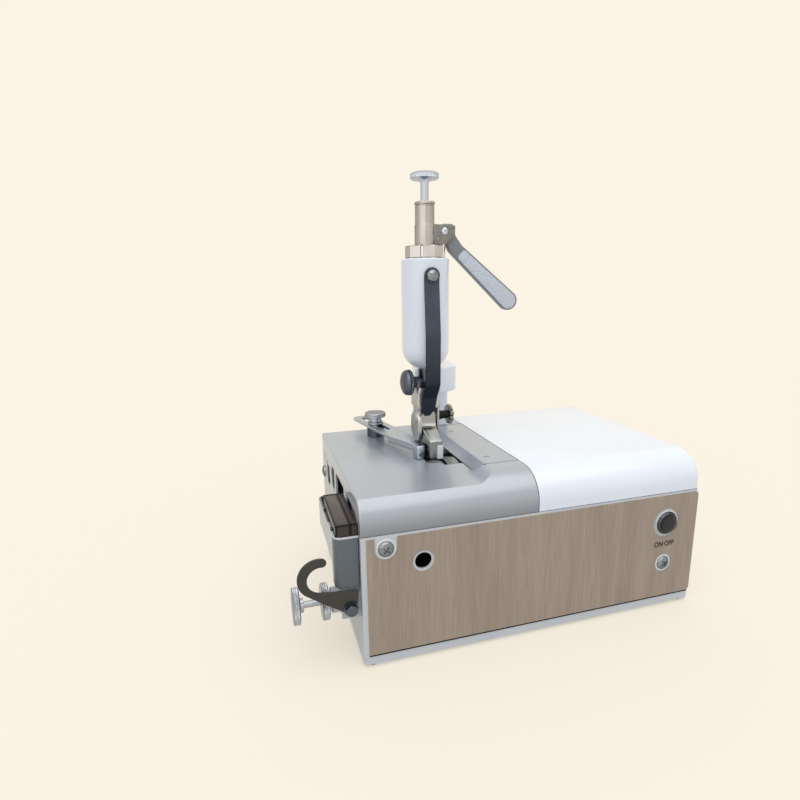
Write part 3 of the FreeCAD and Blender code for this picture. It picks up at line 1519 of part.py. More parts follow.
def collar_and_sleeve():
    """The faceted collar nut on the head, and the sleeve that guides the adjusting rod."""
    nut = doc.addObject("Part::Prism", "collar_prism")
    nut.Polygon = 10
    bind(nut, "Circumradius", size.collar_radius)
    bind(nut, "Height", size.collar_high)
    put(nut, head_axis(size.head_high))
    hole = cylinder("collar_hole", size.sleeve_radius, size.collar_high, head_axis(size.head_high))
    keep("collar_nut", cut("collar", nut, hole))
    bore = size.rod_radius + size.running_gap
    height = size.collar_high + size.sleeve_high
    outer = size.sleeve_radius
    profile = [
        (bore, 0), (outer, 0), (outer, height - 2.5), (outer + 0.7, height - 2), (outer + 0.7, height - 1),
        (outer - 0.6, height), (bore, height),
    ]
    keep("top_sleeve", turned("sleeve", profile, head_axis(size.head_high)))


def adjusting_rod():
    """The rod that sets the foot's height: a disc on top, and its lower end in the presser bar."""
    low = size.bar_high - size.rod_hold
    length = disc_low - low
    disc = size.disc_radius
    profile = [
        (0, 0), (size.rod_radius, 0), (size.rod_radius, length), (disc - 1.5, length), (disc, length + 1.2),
        (disc, length + size.disc_high - 2), (disc - 2, length + size.disc_high - 0.6),
        (disc - 5, length + size.disc_high), (0, length + size.disc_high),
    ]
    keep("adjusting_rod", turned("rod", profile, head_axis(low)))


def presser_bar():
    """The bar in the head, with a shoulder under its spring and a bore for the adjusting rod."""
    low, high, shoulder = size.bar_low, size.bar_high, size.collar_rib_low
    bore = size.rod_radius + size.running_gap
    deep = high - low - size.rod_hold - size.rod_play
    profile = [
        (0, 0), (size.bar_radius, 0), (size.bar_radius, shoulder - low),
        (size.spring_radius - 0.5, shoulder - low),
        (size.spring_radius - 0.5, shoulder - low + size.bar_shoulder),
        (size.bar_radius - 0.8, shoulder - low + size.bar_shoulder),
        (size.bar_radius - 0.8, high - low), (bore, high - low), (bore, deep), (0, deep),
    ]
    keep("presser_bar", turned("bar", profile, head_axis(low)))


def presser_spring():
    """The coil spring that presses the bar down, between its shoulder and the collar nut."""
    wire_radius = amount(size.spring_wire) / 2
    bottom = size.collar_rib_low + size.bar_shoulder + size.spring_wire / 2 + 0.1
    rise = amount(size.head_high - bottom) - wire_radius - 0.1
    middle = amount(size.spring_radius) - wire_radius - 0.2
    steps = 12
    count = int(amount(size.spring_coils) * steps)
    points = []
    for number in range(count + 1):
        angle = 2 * math.pi * number / steps
        points.append(Vector(middle * math.cos(angle), middle * math.sin(angle), rise * number / count))
    path = Part.Wire([Part.makeLine(first, second) for first, second in zip(points, points[1:])])
    section = Part.Wire(Part.makeCircle(wire_radius, points[0], points[1] - points[0]))
    right_corners = 1
    coil = path.makePipeShell([section], True, False, right_corners)
    keep("presser_spring", put(with_shape("spring_coil", coil), head_axis(bottom)))


def lever_plane():
    """Front face of the lever, from the case's front."""
    return size.head_back - size.lever_thick / 2


def lever_bracket():
    """Two ears clamped to the sleeve; the lever turns between them."""
    gap = size.running_gap
    ears = []
    left = size.head_left + size.sleeve_radius * 0.5
    for number, start in enumerate(
        (lever_plane() - gap - size.ear_thick, lever_plane() + size.lever_thick + gap)
    ):
        outline = rectangle(across(left), up(ears_bottom), across(size.ear_right), up(ears_top))
        ears.append(
            padded(f"ear{number}", "XZ", outline, back(start), size.ear_thick, [((1,), 7), ((2,), 5)])
        )
    clamp = ring(
        "bracket_clamp", size.sleeve_radius + 2.4, size.sleeve_radius, ears_top - ears_bottom,
        head_axis(ears_bottom),
    )
    room = box(
        "lever_room",
        (across(size.head_left + size.sleeve_radius + 0.6), back(lever_plane() - gap), up(ears_bottom - 1)),
        (size.lever_length, size.lever_thick + 2 * gap, ears_top),
    )
    sleeve = cylinder("bracket_sleeve", size.sleeve_radius, ears_top, head_axis(ears_bottom - 1))
    pin = cylinder(
        "bracket_pin_hole", size.pivot_pin_radius, 3 * size.lever_thick,
        (across(size.pivot_across), back(lever_plane() - size.lever_thick), up(pivot_level)), "Y",
    )
    keep("lever_bracket", cut("bracket_ears", fuse("bracket_all", clamp, *ears), room, sleeve, pin))
    start = lever_plane() - gap - size.ear_thick - 1
    length = size.lever_thick + 2 * (gap + size.ear_thick + 1)
    keep(
        "lever_pin",
        cylinder(
            "lever_pin_rod", size.pivot_pin_radius, length,
            (across(size.pivot_across), back(start), up(pivot_level)), "Y",
        ),
    )


def lift_lever():
    """The lever: an eye at the pin and a widening arm with a sunk panel on its front."""
    length, head = size.lever_length, size.lever_head
    outline = [
        (-head * 0.5, -head * 0.5), (head, -head * 0.62), (head * 1.7, -head * 0.88), (length, -head),
        (length, head * 0.88), (head * 2.2, head * 0.38), (head * 1.1, head * 0.58),
        (head * 0.58, head * 1.1),
        (head * 0.2, head * 1.12), (-head * 0.5, head * 0.5),
    ]
    blank = padded(
        "lever_blank", "XZ", outline, 0, size.lever_thick,
        [((3, 4), head * 0.85), ((0, 9), head * 0.3)],
    )
    panel_left = length * 0.3
    panel = padded(
        "lever_panel", "XZ",
        [
            (panel_left, -head * 0.6), (length - 3, -head * 0.72), (length - 3, head * 0.6),
            (panel_left, head * 0.1),
        ],
        -1, 2, [((1, 2), head * 0.6)],
    )
    pin = cylinder("lever_hole", size.pivot_pin_radius + size.running_gap, size.lever_thick, (0, 0, 0), "Y")
    lever = cut("lever", blank, panel, pin)
    put(
        lever, (across(size.pivot_across), back(lever_plane()), up(pivot_level)),
        Rotation(AXES["Y"], amount(size.lever_droop)),
    )
    lever.setExpression(".Placement.Rotation.Angle", size.lever_droop.text)
    keep("lift_lever", lever)


def foot_holder():
    """A block clamped on the presser bar, with a cheek each side of the foot."""
    left, right, front, rear = size.holder_left, size.holder_right, size.holder_front, size.holder_rear
    block = padded(
        "holder_block", "XY", rectangle(across(left), back(front), across(right), back(rear)),
        up(size.holder_low), size.holder_high - size.holder_low, [((0, 3), 3)],
    )
    half = size.cheek_radius
    cheek_outline = [
        (back(size.pin_back - half), up(size.cheek_low)),
        (back(size.pin_back + half - 4), up(size.cheek_low)),
        (back(rear - 3), up(size.holder_low + 4)), (back(front), up(size.holder_low + 4)),
    ]
    cheek = padded(
        "left_cheek", "YZ", cheek_outline, across(left), size.cheek_thick,
        [((0,), half * 0.8), ((1,), half * 0.5)]
    )
    plate_outline = rectangle(
        back(size.pin_back - 7), up(size.pin_height - 16), back(size.pin_back + 7), up(size.holder_low + 4)
    )
    plate = padded(
        "right_cheek", "YZ", plate_outline, across(right - size.side_plate_thick), size.side_plate_thick,
        [((0, 1), 5)],
    )
    bore = cylinder(
        "holder_bore", size.bar_radius + size.running_gap, size.holder_high,
        head_axis(size.holder_low - 1)
    )
    pin = cylinder(
        "holder_pin_hole", size.foot_pin_radius, size.case_length / 4,
        (across(left - 1), back(size.pin_back), up(size.pin_height)), "X",
    )
    knob_hole = cylinder(
        "holder_knob_hole", 3 + size.running_gap, 10,
        (across(left - 1), back(size.tilt_knob_back), up(tilt_knob_height)), "X",
    )
    solid = fuse("holder_solid", block, cheek, plate)
    keep("foot_holder", cut("holder", solid, bore, pin, knob_hole))


def tilt_knob():
    """The dark round knob on the left of the foot holder."""
    radius, width = size.tilt_knob_radius, size.tilt_knob_width
    shank = size.holder_left - size.tilt_knob_left
    profile = [
        (0, 0), (radius - 3, 0), (radius, 2.5), (radius, width - 4), (radius - 4, width), (4.5, width),
        (4.5, shank - 0.1),
        (3, shank - 0.1), (3, shank + 4.9), (0, shank + 4.9),
    ]
    place = (across(size.tilt_knob_left), back(size.tilt_knob_back), up(tilt_knob_height))
    keep("tilt_knob", turned("tilt_knob_blank", profile, place, "X"))


def presser_foot():
    """The foot: a hub on its pin and a nose whose sole presses the leather on the roller."""
    low = table_level + size.foot_gap
    front, heel = size.foot_nose_front, size.foot_heel
    hub_front = size.pin_back - size.foot_hub_radius
    outline = [
        (back(front), up(low)), (back(heel), up(low)), (back(heel + 8), up(low + 8)),
        (back(size.pin_back + size.foot_hub_radius), up(size.pin_height - 2)),
        (back(size.pin_back), up(size.pin_height)), (back(hub_front), up(size.pin_height - 5)),
        (back(front), up(size.foot_nose_high)),
    ]
    left = size.foot_right - size.foot_width
    nose = padded("foot_nose", "YZ", outline, across(left), size.foot_width, [((6,), 2)])
    hub_left = size.holder_left + size.cheek_thick + size.running_gap
    hub_right = size.holder_right - size.side_plate_thick - size.running_gap
    hub = cylinder(
        "foot_hub", size.foot_hub_radius, hub_right - hub_left,
        (across(hub_left), back(size.pin_back), up(size.pin_height)), "X",
    )
    bore = cylinder(
        "foot_bore", size.foot_pin_radius + size.running_gap, hub_right - hub_left,
        (across(hub_left), back(size.pin_back), up(size.pin_height)), "X",
    )
    keep("presser_foot", cut("foot", fuse("foot_solid", nose, hub), bore))
    insert = box(
        "wear_block", (across(size.foot_right - size.insert_width), back(front - size.insert_thick), up(low)),
        (size.insert_width, size.insert_thick, size.insert_high),
    )
    keep("wear_insert", insert)


def side_thumb_screw():
    """The foot pin, its black spring sleeve and the knurled disc on the right."""
    start = size.holder_left
    length = size.thumb_disc_left - start
    axis = (across(start), back(size.pin_back), up(size.pin_height))
    disc_profile = [
        (0, 0), (size.foot_pin_radius, 0), (size.foot_pin_radius, length),
        (size.thumb_disc_radius - 1, length),
        (size.thumb_disc_radius, length + 0.8),
        (size.thumb_disc_radius, length + size.thumb_disc_width - 0.8),
        (size.thumb_disc_radius - 1, length + size.thumb_disc_width), (0, length + size.thumb_disc_width),
    ]
    keep("side_thumb_screw", turned("thumb_screw", disc_profile, axis, "X"))
    left = size.holder_right + 0.1
    sleeve = ring(
        "spring_sleeve", size.foot_pin_radius + 2.2, size.foot_pin_radius + size.running_gap,
        size.thumb_disc_left - left - 0.1, (across(left), back(size.pin_back), up(size.pin_height)), "X",
    )
    keep("side_spring", sleeve)


def strap_outline():
    """Side view of the strap, front face then back face."""
    front = head_front() - size.strap_thick - 0.1
    corners = [
        (front, size.strap_high), (front, size.strap_bend), (front + size.strap_lean, size.strap_fold),
        (front + size.strap_return, size.strap_step), (front + size.strap_return, size.strap_low),
    ]
    thick = size.strap_thick
    near = [(back(y), up(z)) for y, z in corners]
    far = [(back(y + thick), up(z)) for y, z in reversed(corners)]
    return near + far


def leaf_strap():
    """The black leaf spring: it hangs from its stud and bears in front of the foot's hub."""
    left = size.strap_across - size.strap_width / 2
    strap = padded("strap_blank", "YZ", strap_outline(), across(left), size.strap_width)
    front = head_front() - size.strap_thick - 0.1
    hole = cylinder(
        "strap_hole", size.stud_shank, 3 * size.strap_thick,
        (across(size.strap_across), back(front - size.strap_thick), up(size.stud_height)), "Y",
    )
    keep("leaf_strap", cut("strap", strap, hole))
    radius, head = size.stud_radius, size.stud_head
    profile = [
        (0, -head), (radius * 0.5, -head * 0.93), (radius * 0.85, -head * 0.6), (radius, -head * 0.2),
        (radius, 0),
        (size.stud_shank, 0), (size.stud_shank, 9), (0, 9),
    ]
    keep(
        "strap_stud",
        turned("stud", profile, (across(size.strap_across), back(front), up(size.stud_height)), "Y")
    )


def guide_screw_place():
    return across(size.guide_screw_across), back(size.guide_screw_back), up(table_level)


def guide_turned(thing):
    """Turn a piece of the guide about its screw, and set it on the guide's level."""
    x, y, z = guide_screw_place()
    put(thing, (x, y, up(guide_low)), Rotation(AXES["Z"], amount(size.guide_turn)))
    thing.setExpression(".Placement.Rotation.Angle", size.guide_turn.text)
    return thing


def guide_bar():
    """The slotted bar and its arm; in its own frame the slot runs along Y through the screw."""
    half = size.guide_width / 2
    arm_end = size.guide_block_reach - size.guide_block_length + 1
    right = size.guide_block_shift + size.guide_neck / 2
    outline = [
        (-half, size.guide_rear), (-half, -size.guide_front + size.guide_slope),
        (right - size.guide_neck, -arm_end),
        (right, -arm_end), (half, -size.guide_front), (half, size.guide_rear),
    ]
    bar = padded("guide_blank", "XY", outline, 0, size.guide_thick, [((0, 5), size.guide_round)])
    reach, width = size.guide_slot_reach, size.guide_slot_width
    slot = padded(
        "guide_slot", "XY", rectangle(-width / 2, -reach, width / 2, reach), -size.guide_thick,
        3 * size.guide_thick, [((0, 1, 2, 3), width * 0.48)],
    )
    web = padded(
        "guide_web", "XY",
        [
            (-half, -size.guide_front + size.guide_slope), (right - size.guide_neck, -arm_end),
            (right - size.guide_neck + 3, -arm_end),
            (-half + 4, -size.guide_front + size.guide_slope),
        ],
        -1 * size.web_high, size.web_high,
    )
    keep("guide_bar", guide_turned(cut("guide_arm", fuse("guide_solid", bar, web), slot)))


def guide_block():
    """The block that the leather's edge runs against."""
    width, length = size.guide_block_width, size.guide_block_length
    low = size.clearance - size.guide_rise
    left = size.guide_block_shift - width / 2
    front = -size.guide_block_reach
    blank = box("block_blank", (left, front, low), (width, length, size.guide_thick - low))
    seat = box("block_seat", (left - 1, front + length - 1, low - 1), (width + 2, 2, size.guide_rise + 20))
    keep("guide_block", guide_turned(cut("block", blank, seat)))


def guide_screw():
    """The spacer that lifts the bar off the table, and the knurled thumb screw through the slot."""
    x, y, z = guide_screw_place()
    spacer = ring(
        "spacer_ring", size.guide_width / 2 - 2, size.guide_shank_radius + 0.2,
        size.guide_rise - size.clearance / 4,
        (x, y, z),
    )
    keep("guide_spacer", spacer)
    clamp = size.guide_rise + size.guide_thick + size.clearance / 4
    down = size.table_thick
    neck, head = size.guide_neck_radius, size.guide_head_radius
    top = down + clamp
    profile = [
        (0, 0), (size.guide_shank_radius, 0), (size.guide_shank_radius, top), (neck, top), (neck, top + 2),
        (neck - 2, top + 2.6), (neck - 2, top + size.guide_neck_high),
        (head - 1.4, top + size.guide_neck_high),
        (head, top + size.guide_neck_high + 1), (head, top + size.guide_neck_high + size.guide_head_high - 2),
        (head - 2, top + size.guide_neck_high + size.guide_head_high - 0.5),
        (0, top + size.guide_neck_high + size.guide_head_high),
    ]
    keep("guide_thumb_screw", turned("guide_screw_blank", profile, (x, y, z - down)))


def check(things):
    """Stop if any object failed or any sub-part is empty or invalid."""
    for thing in doc.Objects:
        if "Invalid" in thing.State or "Error" in thing.State:
            raise RuntimeError(f"{thing.Name} failed: {thing.State} {thing.getStatusString()}")
    labels = [thing.Label for thing in things]
    if len(set(labels)) != len(labels):
        raise RuntimeError("two sub-parts share a name")
    for thing in things:
        shape = thing.Shape
        if shape.isNull() or not shape.isValid() or not shape.Solids:
            raise RuntimeError(f"{thing.Label} has no valid solid")


def write(things):
    os.makedirs("parts", exist_ok=True)
    for thing in things:
        name = re.sub(r"[^a-z0-9_]", "_", thing.Label)
        thing.Shape.exportStep(os.path.join("parts", name + ".step"))
        print(f"{name}: {len(thing.Shape.Solids)} solid(s), {thing.Shape.Volume / 1000:.2f} cm3")


BUILDERS = (
    base_plate, rubber_feet, case_shell, wood_panel, end_plate, panel_screws, table_casting, knife_plate,
    motor_cover, bell_knife, knife_shaft, pedestals, knife_bearings, drive_pulleys, drive_belt, motor,
    motor_cradles, feed_roller, feed_shaft, feed_drive, feed_belt, feed_bracket, grinding_stone,
    stone_carriage,
    left_adjuster, hook_lever, hook_bolt, scrap_tray, chip_guard, power_switch, power_inlet, head_casting,
    collar_and_sleeve, adjusting_rod, presser_bar, presser_spring, lever_bracket, lift_lever, foot_holder,
    tilt_knob, presser_foot, side_thumb_screw, leaf_strap, guide_bar, guide_block, guide_screw,
)

for build in BUILDERS:
    build()
doc.recompute()
check(kept)
write(kept)
print(f"{len(kept)} sub-parts")
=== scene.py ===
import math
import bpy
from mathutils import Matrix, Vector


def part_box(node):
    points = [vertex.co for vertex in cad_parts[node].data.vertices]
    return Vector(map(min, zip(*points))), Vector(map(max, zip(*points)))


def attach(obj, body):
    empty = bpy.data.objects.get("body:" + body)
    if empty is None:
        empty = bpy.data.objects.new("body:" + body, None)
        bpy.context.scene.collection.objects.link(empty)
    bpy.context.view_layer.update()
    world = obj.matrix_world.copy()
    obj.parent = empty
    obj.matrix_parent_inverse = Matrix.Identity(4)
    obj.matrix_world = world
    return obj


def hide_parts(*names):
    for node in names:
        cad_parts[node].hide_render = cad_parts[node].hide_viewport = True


bl_info = {
    "name": "Leather splitting machine",
    "version": (1, 0, 0),
    "blender": (4, 5, 0),
    "location": "3D Viewport > Sidebar > Splitter",
    "description": "Dresses the solids of a bench machine that thins leather with a bell knife",
    "category": "Object",
}

import bmesh
import bpy
import numpy as np
from bpy.props import FloatProperty, FloatVectorProperty, PointerProperty
from bpy.types import Operator, Panel, PropertyGroup
from mathutils import Matrix

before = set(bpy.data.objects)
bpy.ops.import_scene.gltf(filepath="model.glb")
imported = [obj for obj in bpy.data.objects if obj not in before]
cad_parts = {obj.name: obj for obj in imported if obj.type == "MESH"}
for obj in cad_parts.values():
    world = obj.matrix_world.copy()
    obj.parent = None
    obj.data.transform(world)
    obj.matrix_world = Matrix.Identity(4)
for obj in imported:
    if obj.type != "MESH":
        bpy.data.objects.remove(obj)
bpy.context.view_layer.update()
MM = 0.001

# The case's left, front, lower corner. All places below are millimetres from it: right, back and up.
CORNER = np.array(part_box("case_shell")[0])


def extent(node):
    """A solid's lowest and highest corner, in millimetres from the case's corner."""
    low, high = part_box(node)
    return (np.array(low) - CORNER) / MM, (np.array(high) - CORNER) / MM


CASE_LENGTH, CASE_DEPTH = extent("case_shell")[1][:2]
TABLE_RIGHT = extent("table_casting")[1][0]
COVER_LEFT, COVER_TOP = extent("motor_cover")[0][0], extent("motor_cover")[1][2]
PLATE_LOW, PLATE_HIGH = extent("knife_plate")
FOOT_LOW = extent("presser_foot")[0][2]

# Nose and back corner of the table and the cover: centre and radius of their arcs, in the YZ plane.
NOSE, NOSE_RADIUS = (30.0, COVER_TOP - 30.0), 30.0
REAR, REAR_RADIUS = (CASE_DEPTH - 6.0, COVER_TOP - 6.0), 6.0
# Lower edge of the table and the cover, and level of the table's flat.
SKIRT, FLAT = 120.4, 151.0

# Axes and centres: the head and the guide's screw (x, y), the foot's pin and the set screw (y, z), the hook's
# bolt and the button (x, z), the lever's pivot and the strap's stud (x, y, z), and the plate's screws (x, y).
HEAD = (99.0, 115.0)
GUIDE = (62.5, 200.0)
PIN = (113.0, 193.0)
SET_SCREW = (24.0, 51.0)
HOOK_BOLT = (-9.5, 53.0)
BUTTON = (321.0, 87.5)
PIVOT = (117.5, 111.0, 383.5)
STUD = (97.3, 88.8, 340.0)
PLATE_SCREWS = ((146.5, 61.7), (146.2, 160.7))

# Screws of the front and the left end: place, axis, and turn of the cross slot.
FRONT_SCREWS = (((22.5, 0, 106.6), "Y", 40), ((321.5, 0, 42), "Y", -35))
END_SCREWS = (((0, 217.4, 105.6), "X", 0), ((0, 217.4, 23.4), "X", 25))

# The lever's side view, level and from its pivot, and the radii of its corners.
LEVER_OUTLINE = (
    (-5.5, -5.5), (11, -6.8), (18.7, -9.5), (112.6, -11), (112.6, 9.9), (24.2, 4.2), (12.1, 6.4), (6.4, 12.1),
    (2.2, 12.3), (-5.5, 5.5),
)
LEVER_CORNERS = (3, 5, 8, 10, 9.8, 14, 5, 2, 2, 4)

# The foot from its toe to its heel: y, left side, lower and upper level. Its toe slopes, a hollow curve leads
# up, and its heel is round.
FOOT_STATIONS = (
    (88.0, 95.2, 152.9, 170.9), (88.5, 94.7, 152.3, 171.5), (94, 93.4, 152.2, 175.2),
    (99, 92.3, 152.2, 178.6), (102, 91.5, 152.2, 180.7), (104.5, 90.9, 152.3, 182.2),
    (106.3, 90.5, 153.0, 183.6), (107.6, 90.3, 155.0, 185.4), (108.4, 90.2, 156.2, 187.5),
    (108.8, 90.15, 156.8, 190), (109.1, 90.1, 157.2, 194), (109.7, 90.1, 158.2, 197),
    (111, 90.1, 160.5, 199.4), (113, 90.1, 165.0, 200.8), (115.5, 90.1, 170.8, 200.9),
    (118, 90.15, 177.4, 199.4), (120, 90.3, 184.0, 196.8), (120.7, 90.5, 187.0, 194.4),
)
FOOT_RIGHT = 108.2

# Half the floor's side, in metres, and the camera's right, down and forward directions and its place.
FLOOR_REACH = 40.0
CAMERA_AXES = (
    (0.960793, -0.276795, -0.01615),
    (-0.074711, -0.20236, -0.976457),
    (0.267011, 0.93938, -0.215105),
)
CAMERA_PLACE = (-77.2, -403.6, 331.1)


# ------------------------------------------------------------------ surfaces


class Surface:
    """Grids and faces that make one mesh, in millimetres from the case's corner."""

    def __init__(self):
        """Start with nothing."""
        self.points = []
        self.faces = []
        self.count = 0

    def add(self, points, faces):
        """Take in points, and faces that number them from 0."""
        points = np.asarray(points, float).reshape(-1, 3)
        self.faces += [[index + self.count for index in face] for face in faces]
        self.points.append(points)
        self.count += len(points)
        return self

    def grid(self, points, wrap_rows=False, wrap_columns=False, caps=False):
        """Quads between neighbours of a grid of points. Caps close its first and its last row."""
        rows, columns = points.shape[:2]
        row = np.arange(rows if wrap_rows else rows - 1)[:, None]
        column = np.arange(columns if wrap_columns else columns - 1)[None, :]
        next_row, next_column = (row + 1) % rows, (column + 1) % columns
        corners = (
            row * columns + column, row * columns + next_column,
            next_row * columns + next_column, next_row * columns + column,
        )
        faces = np.stack(np.broadcast_arrays(*corners), -1).reshape(-1, 4).tolist()
        if caps:
            last = (rows - 1) * columns
            faces += [list(range(columns))[::-1], [last + index for index in range(columns)]]
        return self.add(points, faces)

    def moved(self, change):
        """Put every point through a function of an array of points."""
        self.points = [change(points) for points in self.points]
        return self

    def mesh(self, name):
        """A mesh of all points and faces, in metres."""
        made = bpy.data.meshes.new(name)
        made.from_pydata((CORNER + MM * np.concatenate(self.points)).tolist(), [], self.faces)
        return made


def axes_of(letter):
    """Two directions across an axis and the axis itself, as a right-handed set."""
    order = {"X": (1, 2, 0), "Y": (2, 0, 1), "Z": (0, 1, 2)}[letter]
    return np.eye(3)[list(order)]


def plane_of(letters):
    """The two directions of a named plane and its normal, towards the normal's own positive axis."""
    order = {"XY": (0, 1, 2), "XZ": (0, 2, 1), "YZ": (1, 2, 0)}[letters]
    return np.eye(3)[list(order)]


def arc(centre, radius, start, end, steps=12):
    """Points of a circle's arc: centre + radius (cos a, sin a), a in degrees from start to end."""
    angle = np.radians(np.linspace(start, end, steps + 1))
    return np.stack([centre[0] + radius * np.cos(angle), centre[1] + radius * np.sin(angle)], 1)


def smooth(share):
    """The ease curve 3 t^2 - 2 t^3, with t held between 0 and 1."""
    share = np.clip(share, 0, 1)
    return share * share * (3 - 2 * share)


def softened(corners, radii, steps=5, closed=True):
    """A line with rounded corners.

    Each corner gives way to an arc that touches both of its sides. The arc starts radius / tan(half the inner
    angle) before the corner, and its points lie on a circle of that radius."""
    corners = np.asarray(corners, float)
    radii = np.broadcast_to(np.asarray(radii, float), len(corners))
    pieces = []
    for index, corner in enumerate(corners):
        before, after = corners[index - 1] - corner, corners[(index + 1) % len(corners)] - corner
        reach = min(np.linalg.norm(before), np.linalg.norm(after)) * 0.499
        before, after = before / np.linalg.norm(before), after / np.linalg.norm(after)
        half = 0.5 * np.arccos(np.clip(before @ after, -1, 1))
        end = not closed and index in (0, len(corners) - 1)
        if end or radii[index] <= 0 or half > 1.56:
            pieces.append(corner[None])
            continue
        touch = min(radii[index] / np.tan(half), reach)
        radius = touch * np.tan(half)
        middle = (before + after) / np.linalg.norm(before + after)
        centre = corner + middle * radius / np.sin(half)
        sweep = (math.pi / 2 - half) * np.linspace(-1, 1, steps + 1)[:, None]
        across = (after - before) / np.linalg.norm(after - before)
        pieces.append(centre - middle * radius * np.cos(sweep) + across * radius * np.sin(sweep))
    return np.concatenate(pieces)


def drawn_in(outline, distance):
    """A closed outline moved inwards: each point goes along the mean of its two sides' normals."""
    step = np.roll(outline, -1, 0) - outline
    step = step / np.maximum(np.linalg.norm(step, axis=1, keepdims=True), 1e-9)
    normal = np.stack([-step[:, 1], step[:, 0]], 1)
    mean = normal + np.roll(normal, 1, 0)
    mean /= np.maximum(np.linalg.norm(mean, axis=1, keepdims=True), 1e-9)
    cosine = np.maximum((mean * normal).sum(1, keepdims=True), 0.5)
    area = np.sum(outline[:, 0] * np.roll(outline[:, 1], -1) - np.roll(outline[:, 0], -1) * outline[:, 1])
    return outline + mean / cosine * distance * np.sign(area)


def turned(surface, profile, place, axis="Z", count=72, ripple=None, ring=False):
    """Turned surface: the point at angle a and row (r, h) is r cos a, r sin a across the axis, h along it.

    ripple takes the grids of angle and height and gives the factor that r is multiplied by. A ring's last row
    joins its first."""
    profile = np.asarray(profile, float)
    angle = np.linspace(0, 2 * math.pi, count, endpoint=False)[None, :]
    radius, height = profile[:, :1], profile[:, 1:]
    if ripple is not None:
        radius = radius * ripple(angle, height)
    first, second, along = axes_of(axis)
    points = (
        (radius * np.cos(angle))[..., None] * first + (radius * np.sin(angle))[..., None] * second
        + np.broadcast_to(height, (len(profile), count))[..., None] * along + np.asarray(place, float)
    )
    return surface.grid(points, wrap_rows=ring, wrap_columns=True)


def plate(surface, outline, plane, start, depth, bevel=0.4, steps=3):
    """A flat plate: its outline is carried from start to start + depth along the plane's normal.

    At both ends it is drawn in by bevel (1 - sin a) at depth bevel (1 - cos a), a from 0 to a right angle."""
    outline = np.asarray(outline, float)
    turn = np.linspace(0, math.pi / 2, steps + 1)
    inset = bevel * (1 - np.sin(turn))
    rise = bevel * (1 - np.cos(turn))
    insets = np.concatenate([inset, inset[::-1]])
    depths = np.concatenate([rise, depth - rise[::-1]])
    first, second, normal = plane_of(plane)
    rows = []
    for distance, level in zip(insets, depths):
        line = drawn_in(outline, distance)
        rows.append(line[:, :1] * first + line[:, 1:] * second + (start + level) * normal)
    return surface.grid(np.array(rows), wrap_columns=True, caps=True)


def block(surface, low, high, bevel=0.5, plane="XY", corner=0.0):
    """A box with bevelled edges, drawn on a plane and carried through it."""
    low, high = np.asarray(low, float), np.asarray(high, float)
    first, second, normal = plane_of(plane)
    left, right = low @ first, high @ first
    bottom, top = low @ second, high @ second
    outline = [(left, bottom), (right, bottom), (right, top), (left, top)]
    if corner:
        outline = softened(outline, corner)
    return plate(surface, outline, plane, low @ normal, (high - low) @ normal, bevel)


def band(surface, path, left, right, thick, bevel=0.35):
    """A flat strip along a line (y, z), between x = left and x = right at each of its rows.

    The section is a rectangle with cut corners that stands square to the line's own direction."""
    path = np.asarray(path, float)
    tangent = np.gradient(path, axis=0)
    tangent /= np.linalg.norm(tangent, axis=1, keepdims=True)
    normal = np.stack([-tangent[:, 1], tangent[:, 0]], 1)
    half = thick / 2
    side = np.array([1, 1, 0, 0, 0, 0, 1, 1])[None, :]
    inset = np.array([1, 0, 0, 1, 1, 0, 0, 1])[None, :] * bevel
    edge = half - bevel
    off = np.array([-half, -edge, -edge, -half, half, edge, edge, half])[None, :]
    left, right = np.broadcast_to(left, len(path))[:, None], np.broadcast_to(right, len(path))[:, None]
    x = np.where(side == 1, right - inset, left + inset)
    y = path[:, :1] + off * normal[:, :1]
    z = path[:, 1:] + off * normal[:, 1:]
    return surface.grid(np.stack([x, y, z], -1), wrap_columns=True, caps=True)


def rotation(axis, degrees, centre):
    """The turn about an axis through a point, by the right-hand rule, as a function of an array of points."""
    first, second, along = axes_of(axis)
    angle = math.radians(degrees)
    turn = (
        np.outer(along, along) + math.cos(angle) * (np.outer(first, first) + np.outer(second, second))
        + math.sin(angle) * (np.outer(second, first) - np.outer(first, second))
    )
    centre = np.asarray(centre, float)
    return lambda points: (points - centre) @ turn.T + centre


def shifted(place):
    """A move by a place, as a function of an array of points."""
    return lambda points: points + np.asarray(place, float)


def cleaned(mesh, sharp):
    """Join doubles, point faces outwards, and keep edges over an angle sharp."""
    work = bmesh.new()
    work.from_mesh(mesh)
    bmesh.ops.remove_doubles(work, verts=work.verts, dist=2e-6)
    bmesh.ops.dissolve_degenerate(work, edges=work.edges, dist=1e-7)
    bmesh.ops.recalc_face_normals(work, faces=work.faces)
    work.to_mesh(mesh)
    work.free()
    mesh.polygons.foreach_set("use_smooth", np.ones(len(mesh.polygons), bool))
    mesh.set_sharp_from_angle(angle=math.radians(sharp))


def combined(thing, operation, surface, sharp):
    """Cut a surface out of an object, or join it on, with the exact solver, and keep the result."""
    tool = bpy.data.objects.new("tool", surface.mesh("tool"))
    cleaned(tool.data, sharp)
    bpy.context.scene.collection.objects.link(tool)
    step = thing.modifiers.new("Step", "BOOLEAN")
    step.operation, step.solver, step.object = operation, "EXACT", tool
    bpy.context.view_layer.update()
    made = bpy.data.meshes.new_from_object(thing.evaluated_get(bpy.context.evaluated_depsgraph_get()))
    old, old_tool = thing.data, tool.data
    thing.modifiers.clear()
    thing.data = made
    bpy.data.objects.remove(tool)
    bpy.data.meshes.remove(old_tool)
    name = old.name
    bpy.data.meshes.remove(old)
    made.name = name
    cleaned(made, sharp)


